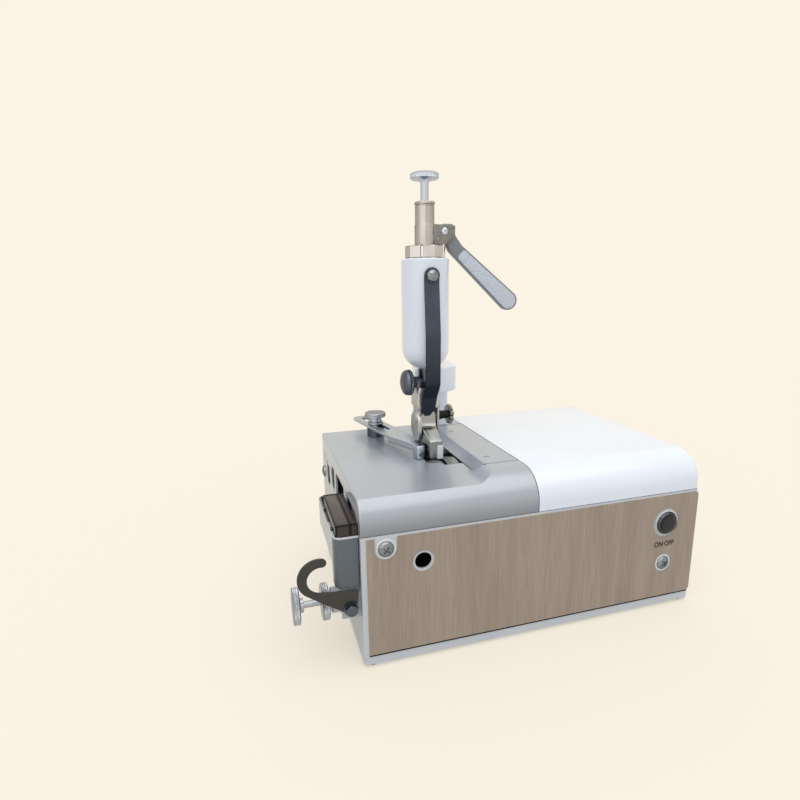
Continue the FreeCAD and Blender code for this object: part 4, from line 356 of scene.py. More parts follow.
def piece(name, surface, finish, body, nodes=(), sharp=32, joined=(), cutters=()):
    """Make a surface an object, with its finish, the body that it rides on and the solids it stands for."""
    mesh = surface.mesh(name)
    cleaned(mesh, sharp)
    thing = bpy.data.objects.new(name, mesh)
    bpy.context.scene.collection.objects.link(thing)
    for operation, tools in (("UNION", joined), ("DIFFERENCE", cutters)):
        for tool in tools:
            combined(thing, operation, tool, sharp)
    thing.data.materials.clear()
    thing.data.materials.append(bpy.data.materials[finish])
    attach(thing, body)
    if nodes:
        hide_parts(*nodes)
    return thing


def between(height, low, high, inside):
    """A ripple's factor: inside from low to high, and 1 elsewhere."""
    return np.where((height >= low) & (height <= high), inside, 1.0)


def knurl(teeth, depth, pitch, low, high):
    """Crossed knurling: 1 - depth (1 - |sin| of the nearer of two opposite spirals), as a ripple."""

    def factor(angle, height):
        """The spirals' sines, with half the teeth in a turn and one tooth in a pitch."""
        first = np.abs(np.sin(0.5 * teeth * angle + math.pi * height / pitch))
        second = np.abs(np.sin(0.5 * teeth * angle - math.pi * height / pitch))
        return between(height, low, high, 1 - depth * (1 - np.minimum(first, second)))

    return factor


def flutes(teeth, depth, low, high, power=1.0):
    """Straight flutes: 1 - depth (1 - |cos(teeth a / 2)|)^power, as a ripple."""

    def factor(angle, height):
        """The flutes' depth at an angle, the same at every height."""
        cut = depth * (1 - np.abs(np.cos(0.5 * teeth * angle))) ** power
        return between(height, low, high, 1 - cut)

    return factor


def facets(sides, turn, low, high):
    """Flats: cos(half a side) / cos(angle from the side's middle), as a ripple."""

    def factor(angle, height):
        """The angle from the middle of the nearest side, and its factor."""
        wide = 2 * math.pi / sides
        local = np.mod(angle + math.radians(turn), wide) - wide / 2
        return between(height, low, high, math.cos(wide / 2) / np.cos(local))

    return factor


# ------------------------------------------------------------------ finishes


class Finish:
    """A material with its Principled BSDF, and short ways to add and link nodes."""

    def __init__(self, name, color, roughness, metallic=0.0, **sockets):
        """Make the material: its other sockets are named with _ for a space."""
        self.material = bpy.data.materials.new(name)
        self.material.use_nodes = True
        self.tree = self.material.node_tree
        self.tree.nodes.clear()
        self.output = self.tree.nodes.new("ShaderNodeOutputMaterial")
        self.shader = self.tree.nodes.new("ShaderNodeBsdfPrincipled")
        self.link(self.shader.outputs[0], self.output.inputs[0])
        self.shader.inputs["Base Color"].default_value = (*color, 1)
        self.shader.inputs["Roughness"].default_value = roughness
        self.shader.inputs["Metallic"].default_value = metallic
        for socket, value in sockets.items():
            self.shader.inputs[socket.replace("_", " ")].default_value = value
        self.material.diffuse_color = (*color, 1)

    def link(self, start, end):
        """Link an output to an input."""
        self.tree.links.new(start, end)

    def effect(self, group_name, **values):
        """Place an effect's group with its own values."""
        node = self.tree.nodes.new("ShaderNodeGroup")
        node.node_tree = bpy.data.node_groups[group_name]
        for socket, value in values.items():
            node.inputs[socket.replace("_", " ")].default_value = value
        return node

    def paint_grazing_shade(self, color, edge):
        """Painted shade on a metal, as its Base Color: the colour falls to edge times itself at grazing
        angles, standing in for a dim room's darker reflections.
        """
        facing = self.tree.nodes.new("ShaderNodeLayerWeight")
        share = self.tree.nodes.new("ShaderNodeMapRange")
        share.inputs["To Min"].default_value = 1.0
        share.inputs["To Max"].default_value = edge
        self.link(facing.outputs["Facing"], share.inputs["Value"])
        shade = self.tree.nodes.new("ShaderNodeVectorMath")
        shade.operation = "SCALE"
        self.link(color, shade.inputs[0])
        self.link(share.outputs[0], shade.inputs["Scale"])
        self.link(shade.outputs[0], self.shader.inputs["Base Color"])

    def paint_shade_below(self, low, high, share):
        """Painted shade: Base Color falls to share times itself from level high down to level low, in
        millimetres.
        """
        place = self.tree.nodes.new("ShaderNodeTexCoord")
        apart = self.tree.nodes.new("ShaderNodeSeparateXYZ")
        self.link(place.outputs["Object"], apart.inputs[0])
        level = self.tree.nodes.new("ShaderNodeMapRange")
        for socket, value in (
            ("From Min", CORNER[2] + MM * low), ("From Max", CORNER[2] + MM * high), ("To Min", share),
            ("To Max", 1.0),
        ):
            level.inputs[socket].default_value = value
        self.link(apart.outputs["Z"], level.inputs["Value"])
        shade = self.tree.nodes.new("ShaderNodeVectorMath")
        shade.operation = "SCALE"
        self.link(self.shader.inputs["Base Color"].links[0].from_socket, shade.inputs[0])
        self.link(level.outputs[0], shade.inputs["Scale"])
        self.link(shade.outputs[0], self.shader.inputs["Base Color"])

    def bump(self, height, strength, distance):
        """Bump from a height."""
        node = self.tree.nodes.new("ShaderNodeBump")
        node.inputs["Strength"].default_value = strength
        node.inputs["Distance"].default_value = distance
        self.link(height, node.inputs["Height"])
        self.link(node.outputs["Normal"], self.shader.inputs["Normal"])


class Effect:
    """A shader node group with named inputs and outputs."""

    def __init__(self, name, inputs, outputs):
        """Make the group: each input has its kind and default, each output its kind."""
        self.tree = bpy.data.node_groups.new(name, "ShaderNodeTree")
        for socket, (kind, default) in inputs.items():
            made = self.tree.interface.new_socket(socket, in_out="INPUT", socket_type=kind)
            made.default_value = default
        for socket, kind in outputs.items():
            self.tree.interface.new_socket(socket, in_out="OUTPUT", socket_type=kind)
        self.given = self.tree.nodes.new("NodeGroupInput").outputs
        self.result = self.tree.nodes.new("NodeGroupOutput").inputs
        self.place = self.tree.nodes.new("ShaderNodeTexCoord").outputs["Object"]

    def node(self, kind, links=None, **settings):
        """Add a node: settings are its properties or, where it has none of that name, its inputs."""
        made = self.tree.nodes.new("ShaderNode" + kind)
        for setting, value in settings.items():
            if hasattr(made, setting):
                setattr(made, setting, value)
            else:
                made.inputs[setting.replace("_", " ")].default_value = value
        for socket, source in (links or {}).items():
            self.tree.links.new(source, made.inputs[socket])
        return made

    def give(self, socket, source):
        """Link a source to one of the group's outputs."""
        self.tree.links.new(source, self.result[socket])


NUMBER, COLOR = "NodeSocketFloat", "NodeSocketColor"


def make_effects():
    """The effects that several finishes share."""
    effect = Effect(
        "Paint Skin",
        {"Ripple Size": (NUMBER, 900.0), "Tone Size": (NUMBER, 14.0), "Tone Depth": (NUMBER, 0.04),
         "Tint": (COLOR, (0.8, 0.8, 0.8, 1))},
        {"Color": COLOR, "Height": NUMBER},
    )
    ripple = effect.node(
        "TexNoise", {"Vector": effect.place, "Scale": effect.given["Ripple Size"]}, Detail=2.0, Roughness=0.5
    )
    tone = effect.node(
        "TexNoise", {"Vector": effect.place, "Scale": effect.given["Tone Size"]}, Detail=4.0, Roughness=0.6
    )
    low = effect.node("Math", {1: effect.given["Tone Depth"]}, operation="SUBTRACT")
    low.inputs[0].default_value = 1.0
    spread = effect.node(
        "MapRange", {"Value": tone.outputs[0], "To Min": low.outputs[0]}, From_Min=0.3, From_Max=0.7
    )
    spread.inputs["To Max"].default_value = 1.0
    shade = effect.node("VectorMath", {0: effect.given["Tint"]}, operation="SCALE")
    effect.tree.links.new(spread.outputs[0], shade.inputs["Scale"])
    effect.give("Color", shade.outputs[0])
    effect.give("Height", ripple.outputs[0])

    effect = Effect(
        "Brushed Metal",
        {"Along X": (NUMBER, 40.0), "Along Y": (NUMBER, 1500.0), "Along Z": (NUMBER, 1500.0),
         "Tint": (COLOR, (0.7, 0.7, 0.7, 1)), "Depth": (NUMBER, 0.12), "Roughness": (NUMBER, 0.3)},
        {"Color": COLOR, "Height": NUMBER, "Roughness": NUMBER},
    )
    stretch = effect.node("CombineXYZ", {letter: effect.given["Along " + letter] for letter in "XYZ"})
    scaled = effect.node("VectorMath", {0: effect.place, 1: stretch.outputs[0]}, operation="MULTIPLY")
    lines = effect.node("TexNoise", {"Vector": scaled.outputs[0]}, Scale=1.0, Detail=5.0, Roughness=0.65)
    cloud = effect.node("TexNoise", {"Vector": effect.place}, Scale=60.0, Detail=3.0)
    mixed = effect.node("Math", {0: lines.outputs[0], 1: cloud.outputs[0]}, operation="MULTIPLY")
    dark = effect.node("MapRange", {"Value": mixed.outputs[0]}, From_Min=0.1, From_Max=0.4)
    dark.inputs["To Max"].default_value = 1.0
    less = effect.node("Math", {1: effect.given["Depth"]}, operation="SUBTRACT")
    less.inputs[0].default_value = 1.0
    effect.tree.links.new(less.outputs[0], dark.inputs["To Min"])
    shade = effect.node("VectorMath", {0: effect.given["Tint"], "Scale": dark.outputs[0]}, operation="SCALE")
    rough = effect.node("MapRange", {"Value": lines.outputs[0]}, From_Min=0.3, From_Max=0.7)
    lower = effect.node("Math", {0: effect.given["Roughness"]}, operation="MULTIPLY")
    lower.inputs[1].default_value = 0.75
    upper = effect.node("Math", {0: effect.given["Roughness"]}, operation="MULTIPLY")
    upper.inputs[1].default_value = 1.3
    effect.tree.links.new(lower.outputs[0], rough.inputs["To Min"])
    effect.tree.links.new(upper.outputs[0], rough.inputs["To Max"])
    effect.give("Color", shade.outputs[0])
    effect.give("Height", lines.outputs[0])
    effect.give("Roughness", rough.outputs[0])

    effect = Effect(
        "Wood Print",
        {"Light": (COLOR, (0.5, 0.4, 0.3, 1)), "Dark": (COLOR, (0.4, 0.3, 0.2, 1)),
         "Lines": (NUMBER, 900.0), "Bands": (NUMBER, 60.0)},
        {"Color": COLOR, "Height": NUMBER, "Roughness": NUMBER},
    )
    fine_scale = effect.node("CombineXYZ", {"X": effect.given["Lines"]}, Y=60.0, Z=26.0)
    fine_place = effect.node("VectorMath", {0: effect.place, 1: fine_scale.outputs[0]}, operation="MULTIPLY")
    fine = effect.node("TexNoise", {"Vector": fine_place.outputs[0]}, Scale=1.0, Detail=6.0, Roughness=0.7)
    wide_scale = effect.node("CombineXYZ", {"X": effect.given["Bands"]}, Y=10.0, Z=5.0)
    wide_place = effect.node("VectorMath", {0: effect.place, 1: wide_scale.outputs[0]}, operation="MULTIPLY")
    wide = effect.node("TexNoise", {"Vector": wide_place.outputs[0]}, Scale=1.0, Detail=3.0, Distortion=0.4)
    fine_part = effect.node("Math", {0: fine.outputs[0]}, operation="MULTIPLY")
    fine_part.inputs[1].default_value = 0.62
    both = effect.node("Math", {0: wide.outputs[0], 2: fine_part.outputs[0]}, operation="MULTIPLY_ADD")
    both.inputs[1].default_value = 0.38
    share = effect.node("MapRange", {"Value": both.outputs[0]}, From_Min=0.38, From_Max=0.62)
    tint = effect.node(
        "Mix", {"Factor": share.outputs[0], 6: effect.given["Dark"], 7: effect.given["Light"]},
        data_type="RGBA",
    )
    rough = effect.node("MapRange", {"Value": fine.outputs[0]}, To_Min=0.42, To_Max=0.56)
    effect.give("Color", tint.outputs[2])
    effect.give("Height", fine.outputs[0])
    effect.give("Roughness", rough.outputs[0])


def painted(
    name, color, roughness, coat, depth=0.04, ripple=900.0, bump=0.05, metallic=0.0, tone_size=14.0, **sockets
):
    """Paint: a faint ripple in the skin and slow changes of tone under a clear coat."""
    finish = Finish(name, color, roughness, metallic, Coat_Weight=coat, Coat_Roughness=0.08, **sockets)
    skin = finish.effect(
        "Paint Skin", Ripple_Size=ripple, Tone_Size=tone_size, Tone_Depth=depth, Tint=(*color, 1)
    )
    finish.link(skin.outputs["Color"], finish.shader.inputs["Base Color"])
    finish.bump(skin.outputs["Height"], bump, 0.0004)
    return finish


def metal(name, color, roughness, stretch=(1500.0, 1500.0, 60.0), depth=0.15, bump=0.08, edge=0.5):
    """Bare or plated metal with fine lines of machining, and painted shade where it turns away, standing in
    for the reflection of a dim room.
    """
    finish = Finish(name, color, roughness, 1.0)
    brushed = finish.effect(
        "Brushed Metal", Along_X=stretch[0], Along_Y=stretch[1], Along_Z=stretch[2], Tint=(*color, 1),
        Depth=depth, Roughness=roughness,
    )
    # Painted shade: the colour darkens at grazing angles, as reflections of a dim room would.
    finish.paint_grazing_shade(brushed.outputs["Color"], edge)
    finish.link(brushed.outputs["Roughness"], finish.shader.inputs["Roughness"])
    finish.bump(brushed.outputs["Height"], bump, 0.0002)
    return finish


def make_finishes(colors):
    """Every finish of the machine.

    The table's nose and the strap carry painted shade that grows darker towards their lower ends."""
    fine = (900.0, 900.0, 500.0)
    painted("white enamel", colors.enamel, 0.22, 0.5, depth=0.02)
    painted("case paint", colors.case_paint, 0.38, 0.2, depth=0.05, ripple=1500.0, bump=0.08)
    table = painted(
        "table paint", colors.table_paint, 0.32, 0.25, depth=0.05, ripple=2600.0, bump=0.08, metallic=0.45
    )
    # Painted shade: the table's nose darkens from z 137 down to z 120.
    table.paint_shade_below(120, 137, 0.6)
    painted("end paint", (0.5, 0.51, 0.51), 0.38, 0.2, depth=0.05, ripple=1500.0, bump=0.08)
    painted("tray paint", colors.tray_paint, 0.42, 0.15, depth=0.15, ripple=1800.0, bump=0.12)
    painted("lever enamel", colors.lever, 0.45, 0.1, depth=0.08, ripple=2500.0, bump=0.15, metallic=0.3)
    painted("lever tab", (0.6, 0.65, 0.74), 0.45, 0.1, depth=0.04, ripple=2800.0, bump=0.1)
    painted(
        "lever panel", colors.lever_panel, 0.5, 0.1, depth=0.3, ripple=1600.0, bump=0.4, metallic=0.3,
        tone_size=420.0,
    )
    painted("hook enamel", colors.hook, 0.42, 0.15, depth=0.2, ripple=2200.0, bump=0.15, metallic=0.3)
    painted(
        "black plastic", (0.01, 0.0105, 0.012), 0.5, 0.0, depth=0.1, ripple=2500.0, bump=0.1,
        Specular_IOR_Level=0.2,
    )
    painted("button gloss", (0.012, 0.013, 0.018), 0.22, 0.0, depth=0.1, Specular_IOR_Level=0.35)
    painted("wear plastic", (0.7, 0.73, 0.73), 0.5, 0.0, depth=0.06, ripple=1800.0, bump=0.1)
    painted("rubber", (0.025, 0.025, 0.025), 0.8, 0.0, depth=0.25, ripple=3000.0, bump=0.3)
    painted("abrasive stone", (0.2, 0.205, 0.2), 0.9, 0.0, depth=0.3, ripple=3500.0, bump=0.9)
    painted("machined iron", (0.2, 0.21, 0.22), 0.5, 0.0, depth=0.2, ripple=2500.0, bump=0.3, metallic=0.7)
    painted("dark coating", (0.05, 0.055, 0.065), 0.45, 0.1, depth=0.2)
    painted("lettering ink", (0.006, 0.006, 0.007), 0.6, 0.0)

    metal("warm nickel", colors.nickel, 0.2, edge=0.25)
    metal("sleeve nickel", (0.6, 0.595, 0.61), 0.2, stretch=(1500.0, 1500.0, 30.0), depth=0.25, edge=0.2)
    metal("worn nickel", (0.3, 0.3, 0.3), 0.32, stretch=(90.0, 400.0, 400.0), depth=0.35, edge=0.4)
    metal("foot bronze", colors.bronze, 0.26, stretch=(200.0, 60.0, 200.0), depth=0.25, edge=0.35)
    metal("holder steel", (0.66, 0.68, 0.7), 0.36, stretch=(300.0, 300.0, 60.0), depth=0.3, edge=0.6)
    metal("guide steel", (0.5, 0.56, 0.64), 0.3, stretch=(700.0, 60.0, 700.0), edge=0.75)
    metal("knurled steel", (0.46, 0.5, 0.57), 0.3, stretch=(300.0, 300.0, 300.0), edge=0.6)
    metal("capped steel", (0.5, 0.54, 0.62), 0.36, stretch=(300.0, 300.0, 300.0), edge=0.3)
    metal("dark chrome", (0.08, 0.085, 0.1), 0.16, stretch=fine, depth=0.1, bump=0.02)
    metal("bright chrome", colors.chrome, 0.2, stretch=fine, depth=0.08, bump=0.03, edge=0.4)
    metal("screw chrome", (0.34, 0.39, 0.44), 0.16, stretch=fine, depth=0.3, bump=0.05, edge=0.1)
    metal("turned steel", (0.55, 0.58, 0.62), 0.32, stretch=(1800.0, 80.0, 80.0))
    metal("knife steel", (0.42, 0.45, 0.47), 0.3, stretch=(1800.0, 60.0, 60.0), depth=0.5, bump=0.03)
    spring = metal(
        "blued spring", colors.strap, 0.36, stretch=(1400.0, 200.0, 40.0), depth=0.25, bump=0.05, edge=0.4
    )
    # Painted shade: the strap's lower part darkens from z 300 down to z 235.
    spring.paint_shade_below(235, 300, 0.45)
    metal("dark gunmetal", (0.13, 0.155, 0.2), 0.3, stretch=(1600.0, 120.0, 120.0), edge=0.35)

    wood = Finish("wood laminate", colors.wood_light, 0.48, 0.0, Coat_Weight=0.12, Coat_Roughness=0.25)
    grain = wood.effect("Wood Print", Light=(*colors.wood_light, 1), Dark=(*colors.wood_dark, 1))
    wood.link(grain.outputs["Color"], wood.shader.inputs["Base Color"])
    wood.link(grain.outputs["Roughness"], wood.shader.inputs["Roughness"])
    wood.bump(grain.outputs["Height"], 0.12, 0.0002)
    smoked = Finish("smoked plastic", colors.guard, 0.28, 0.0, Coat_Weight=0.1, Specular_IOR_Level=0.35)
    skin = smoked.effect("Paint Skin", Tone_Size=30.0, Tone_Depth=0.25, Tint=(*colors.guard, 1))
    smoked.link(skin.outputs["Color"], smoked.shader.inputs["Base Color"])


# The solids that have each finish until a new piece stands for them.
CARRIED_OVER = {
    "case paint": ("base_plate", "case_shell", "tray_shelf", "screw_boss"),
    "wood laminate": ("wood_panel",),
    "rubber": ("rubber_feet", "drive_belt", "feed_belt"),
    "table paint": ("table_casting", "knife_plate"),
    "white enamel": ("motor_cover", "head_casting"),
    "end paint": ("left_end_plate",),
    "turned steel": (
        "knife_shaft", "knife_bearings", "knife_pulley", "motor_pulley", "feed_shaft", "stone_spindle",
        "adjusting_screw", "lock_nut", "hook_bolt",
    ),
    "knife steel": ("bell_knife",),
    "machined iron": ("bearing_pedestals", "motor_cradles", "feed_bracket", "stone_carriage"),
    "dark coating": ("motor", "feed_motor"),
    "abrasive stone": ("feed_roller", "grinding_stone"),
    "black plastic": ("feed_pulley", "feed_drive_pulley", "power_inlet"),
    "hook enamel": ("hook_lever",),
    "tray paint": ("scrap_tray",),
    "smoked plastic": ("chip_guard",),
    "wear plastic": ("switch_housing", "wear_insert"),
    "button gloss": ("power_button",),
    "warm nickel": (
        "collar_nut", "top_sleeve", "lever_bracket", "lever_pin", "foot_holder", "presser_foot",
    ),
    "bright chrome": (
        "adjusting_rod", "panel_screws", "side_thumb_screw", "strap_stud", "guide_bar", "guide_block",
        "guide_spacer", "guide_thumb_screw",
    ),
    "lever enamel": ("lift_lever",),
    "blued spring": ("leaf_strap", "side_spring", "presser_spring"),
    "dark gunmetal": ("tilt_knob", "presser_bar"),
}


class SPLITTER_PG_colors(PropertyGroup):
    """Colours of the paints, the platings, the laminate and the plastics."""

    enamel: FloatVectorProperty(
        name="Enamel", description="White of the cover and the head", subtype="COLOR",
        default=(0.82, 0.87, 0.94),
    )
    case_paint: FloatVectorProperty(
        name="Case paint", description="Pale grey of the case's sheet metal", subtype="COLOR",
        default=(0.6, 0.63, 0.66),
    )
    table_paint: FloatVectorProperty(
        name="Table paint", description="Silver grey of the table", subtype="COLOR",
        default=(0.41, 0.45, 0.505),
    )
    tray_paint: FloatVectorProperty(
        name="Tray paint", description="Grey of the tray", subtype="COLOR", default=(0.115, 0.135, 0.155)
    )
    wood_light: FloatVectorProperty(
        name="Wood, light", description="Light lines of the laminate", subtype="COLOR",
        default=(0.4, 0.325, 0.26),
    )
    wood_dark: FloatVectorProperty(
        name="Wood, dark", description="Dark lines of the laminate", subtype="COLOR",
        default=(0.29, 0.225, 0.175),
    )
    bronze: FloatVectorProperty(
        name="Foot", description="Bronze-toned plating of the presser foot", subtype="COLOR",
        default=(0.42, 0.44, 0.44),
    )
    nickel: FloatVectorProperty(
        name="Nickel", description="Warm plating of the collar nut", subtype="COLOR",
        default=(0.76, 0.76, 0.77),
    )
    chrome: FloatVectorProperty(
        name="Chrome", description="Bright plating of the rod and the guide's end block", subtype="COLOR",
        default=(0.64, 0.7, 0.84),
    )
    lever: FloatVectorProperty(
        name="Lever", description="Grey of the lift lever", subtype="COLOR", default=(0.22, 0.24, 0.27)
    )
    lever_panel: FloatVectorProperty(
        name="Lever panel", description="Sunk panel of the lift lever", subtype="COLOR",
        default=(0.66, 0.72, 0.82),
    )
    hook: FloatVectorProperty(
        name="Hook", description="Dark olive of the hook lever", subtype="COLOR",
        default=(0.045, 0.043, 0.038),
    )
    strap: FloatVectorProperty(
        name="Strap", description="Blued spring steel", subtype="COLOR", default=(0.085, 0.105, 0.15)
    )
    guard: FloatVectorProperty(
        name="Guard", description="Smoked plastic of the chip guard", subtype="COLOR",
        default=(0.05, 0.036, 0.03),
    )


class SPLITTER_PG_sizes(PropertyGroup):
    """Sizes of the new pieces, in metres and radians.

    The joints don't follow them: at another slant, the guide's slot is askew to the way that it slides."""

    lever_droop: FloatProperty(
        name="Lever droop", description="Slope of the lift lever, down from level", subtype="ANGLE",
        default=math.radians(42.7),
    )
    guide_slant: FloatProperty(
        name="Guide slant", description="Turn of the edge guide about its screw", subtype="ANGLE",
        default=math.radians(13),
    )
    strap_width: FloatProperty(
        name="Strap width", description="Width of the leaf spring", unit="LENGTH", default=0.0156
    )
    hook_thickness: FloatProperty(
        name="Hook thickness", description="Thickness of the hook lever's plate", unit="LENGTH",
        default=0.00195,
    )
    knob_radius: FloatProperty(
        name="Knob radius", description="Radius of the two knurled knobs at the left end", unit="LENGTH",
        default=0.0164,
    )
    disc_radius: FloatProperty(
        name="Disc radius", description="Radius of the adjusting rod's knurled disc", unit="LENGTH",
        default=0.0142,
    )
    lettering_width: FloatProperty(
        name="Lettering width", description="Width of the switch's lettering", unit="LENGTH", default=0.0245
    )
    lettering_height: FloatProperty(
        name="Lettering height", description="Height of the switch's lettering", unit="LENGTH", default=0.006
    )


class SPLITTER_PG_stage(PropertyGroup):
    """Colours, lights and lens of the stage."""

    floor: FloatVectorProperty(
        name="Floor", description="Pale floor and backdrop", subtype="COLOR", default=(0.97, 0.9, 0.78)
    )
    bounce: FloatVectorProperty(
        name="Bounce", description="Floor's colour for the light that it sends up", subtype="COLOR",
        default=(0.5, 0.5, 0.5),
    )
    sky: FloatVectorProperty(
        name="Sky", description="Colour of the soft light from all round", subtype="COLOR",
        default=(0.95, 0.97, 1.0),
    )
    sky_strength: FloatProperty(
        name="Sky strength", description="Strength of the soft light from all round", default=0.58
    )
    lens: FloatProperty(name="Lens", description="Focal length", default=23.406, unit="CAMERA")
    key_power: FloatProperty(name="Key light", description="Strength of the key light", default=1.3)
    key_turn: FloatProperty(
        name="Key turn", description="Key light, turned to the right of the front", subtype="ANGLE",
        default=math.radians(5),
    )
    key_height: FloatProperty(
        name="Key height", description="Key light above the horizon", subtype="ANGLE",
        default=math.radians(68),
    )
    fill_power: FloatProperty(name="Fill light", description="Strength of the fill light", default=0.55)
    rim_power: FloatProperty(name="Rim light", description="Strength of the light from behind", default=0.2)
    spread: FloatProperty(
        name="Spread", description="Width of the lights in the sky", subtype="ANGLE",
        default=math.radians(75),
    )


# ------------------------------------------------------------------ pieces


def skirted(inset):
    """Section of the table and the cover, drawn in by inset: wall, nose arc, top, back arc, wall."""
    front = arc(NOSE, NOSE_RADIUS - inset, 180, 90, 16)
    rear = arc(REAR, REAR_RADIUS - inset, 90, 0, 5)
    return np.concatenate([[(inset, SKIRT)], front, rear, [(CASE_DEPTH - inset, SKIRT)]])


def carried_along_x(stations, section):
    """Rows of points (x, y, z): the section for each station's inset stands at the station's x."""
    rows = []
    for x, inset in stations:
        line = section(inset)
        rows.append(np.column_stack([np.full(len(line), x), line]))
    return np.array(rows)


def table_rise(x, y):
    """Height over the table's flat.

    In front it is an ease curve from x 114 to x 139; behind, a straight ramp from x 124 to x 135. The two are
    mixed by an ease curve that runs 22 mm back from y 40."""
    soft = smooth((x - 114) / 25)
    ramp = np.clip((x - 124) / 11, 0, 1)
    return (COVER_TOP - FLAT) * (soft + (ramp - soft) * smooth((y - 40) / 22))


def table_surface():
    """The table's outside: sections across x, with a nose arc up to the flat and a back arc down from it.

    The nose's point at angle a is its centre + r (-cos a, sin a), with a from 0 to the angle at which it
    meets the flat. The flat's height is FLAT + the rise at x, y. At both ends the section is drawn in along a
    quarter circle."""
    turn = np.linspace(0, math.pi / 2, 5)
    left, right = 1.5, 0.6  # How far the two ends are rounded.
    stations = np.concatenate([
        np.column_stack([left * (1 - np.cos(turn)), left * (1 - np.sin(turn))]),
        np.column_stack([np.linspace(4, 110, 24), np.zeros(24)]),
        np.column_stack([np.arange(112, 142), np.zeros(30)]),
        np.column_stack([np.linspace(144, TABLE_RIGHT - 1, 12), np.zeros(12)]),
        np.column_stack([TABLE_RIGHT - right * (1 - np.cos(turn[::-1])), right * (1 - np.sin(turn[::-1]))]),
    ])
    x, inset = stations[:, :1], stations[:, 1:]
    radius = NOSE_RADIUS - inset
    front_level = FLAT + table_rise(x, 20.0) - inset
    crease = np.arcsin(np.clip((front_level - NOSE[1]) / radius, 0, 1))
    share = np.linspace(0, 1, 17)[None, :]
    nose_y = NOSE[0] - radius * np.cos(crease * share)
    nose_z = NOSE[1] + radius * np.sin(crease * share)
    rear_level = FLAT + table_rise(x, CASE_DEPTH) - inset
    rear_radius = REAR_RADIUS - inset
    drop = np.arcsin(np.clip((rear_level - REAR[1]) / rear_radius, 0, 1))
    rear_start = REAR[0] + rear_radius * np.cos(drop)
    along = np.linspace(0, 1, 61)[None, 1:]
    flat_y = nose_y[:, -1:] + (rear_start - nose_y[:, -1:]) * along
    flat_z = FLAT + table_rise(x, flat_y) - inset
    share = np.linspace(1, 0, 7)[None, 1:]
    rear_y = REAR[0] + rear_radius * np.cos(drop * share)
    rear_z = np.minimum(REAR[1] + rear_radius * np.sin(drop * share), rear_level)
    y = np.concatenate([inset, nose_y, flat_y, rear_y, CASE_DEPTH - inset], 1)
    low = np.full_like(x, SKIRT)
    z = np.concatenate([low, nose_z, flat_z, rear_z, low], 1)
    return Surface().grid(np.stack(np.broadcast_arrays(x, y, z), -1), wrap_columns=True, caps=True)


def hollow(left, right, wall, top):
    """The room under the table or the cover, for cutting it out: its section, drawn in by wall, up to top."""
    radius = NOSE_RADIUS - wall
    reach = math.degrees(math.asin(min(1.0, (top - NOSE[1]) / radius)))
    nose = arc(NOSE, radius, 180, 180 - reach, 12)
    outline = np.concatenate([[(wall, 100)], nose, [(CASE_DEPTH - wall, top), (CASE_DEPTH - wall, 100)]])
    return plate(Surface(), outline, "YZ", left, right - left, 0.0, 1)


def make_table():
    """The table, the plate over the knife, and the plate's screws.

    The table is its outside less the room below it, the window in its end, the slot, the plate's seat and the
    knife's room. The plate climbs from the flat to the cover's height, with two sunk screws."""
    slot = softened(
        [(103, 70), (136, 70), (136, 121), (89.5, 121), (89.5, 79), (103, 79)], (4, 1, 1, 7, 5, 2)
    )
    seat = [(122, 151.04), (127.2, 151.0), (136.6, 154.7), (174, 154.7), (174, 170), (122, 170)]
    window = [(5, 110), (5, 128), (12, 145), (225, 128), (225, 110)]
    low, high = PLATE_LOW[1], PLATE_HIGH[1]
    cutters = (
        hollow(5, TABLE_RIGHT - 5, 5, FLAT - 6),
        plate(Surface(), window, "YZ", -3, 10, 0.0, 1),
        plate(Surface(), slot, "XY", 140, 30, 0.0, 1),
        plate(Surface(), seat, "XZ", low - 0.5, high - low + 1, 0.0, 1),
        turned(Surface(), [(0, 0), (50.5, 0), (50.5, 61), (0, 61)], (108, 89, 101.4), "X", 96),
    )
    piece("table", table_surface(), "table paint", "machine", ("table_casting",), sharp=20, cutters=cutters)

    outline = [
        (PLATE_LOW[0], 151.3), (127, 151.3), (136.5, 155), (PLATE_HIGH[0], 155), (PLATE_HIGH[0], COVER_TOP),
        (135, COVER_TOP),
    ]
    surface = plate(Surface(), outline, "XZ", low, high - low, 0.35)
    well = [(0, -1.2), (2.9, -1.2), (2.9, 2), (0, 2)]
    wells = [turned(Surface(), well, (x, y, COVER_TOP), count=32) for x, y in PLATE_SCREWS]
    piece("plate_over_knife", surface, "table paint", "machine", ("knife_plate",), sharp=25, cutters=wells)
    surface = Surface()
    profile = [(0, -1.1), (2.6, -1.1), (2.6, -0.2), (2.3, 0), (1.5, 0), (1.3, -0.8), (0, -0.8)]
    for x, y in PLATE_SCREWS:
        turned(surface, profile, (x, y, COVER_TOP), count=36)
    piece("plate_screws", surface, "turned steel", "machine")


def make_seams():
    """The thin dark lines between the table and the cover, round the plate, and under the front panel.

    The first is the table's section, drawn in by 0.28 mm; the others are thin boxes."""
    stations = [(TABLE_RIGHT - 0.1, 0.28), (COVER_LEFT + 0.1, 0.28)]
    surface = Surface().grid(carried_along_x(stations, skirted), wrap_columns=True, caps=True)
    (left, front), (right, back) = PLATE_LOW[:2], PLATE_HIGH[:2]
    top = COVER_TOP + 0.05
    for low, high in (
        ((left + 10, front - 0.75, top - 0.6), (right, front - 0.15, top)),
        ((left + 10, back + 0.15, top - 0.6), (right, back + 0.75, top)),
        ((right - 0.2, front - 0.75, top - 0.6), (right + 0.6, back + 0.75, top)),
        ((left - 0.9, front, FLAT), (left - 0.2, back, FLAT + 0.12)),
        ((5, -0.85, 2.7), (CASE_LENGTH - 3, -0.05, 3.4)),
    ):
        block(surface, low, high, 0.0)
    piece("seams", surface, "black plastic", "machine")


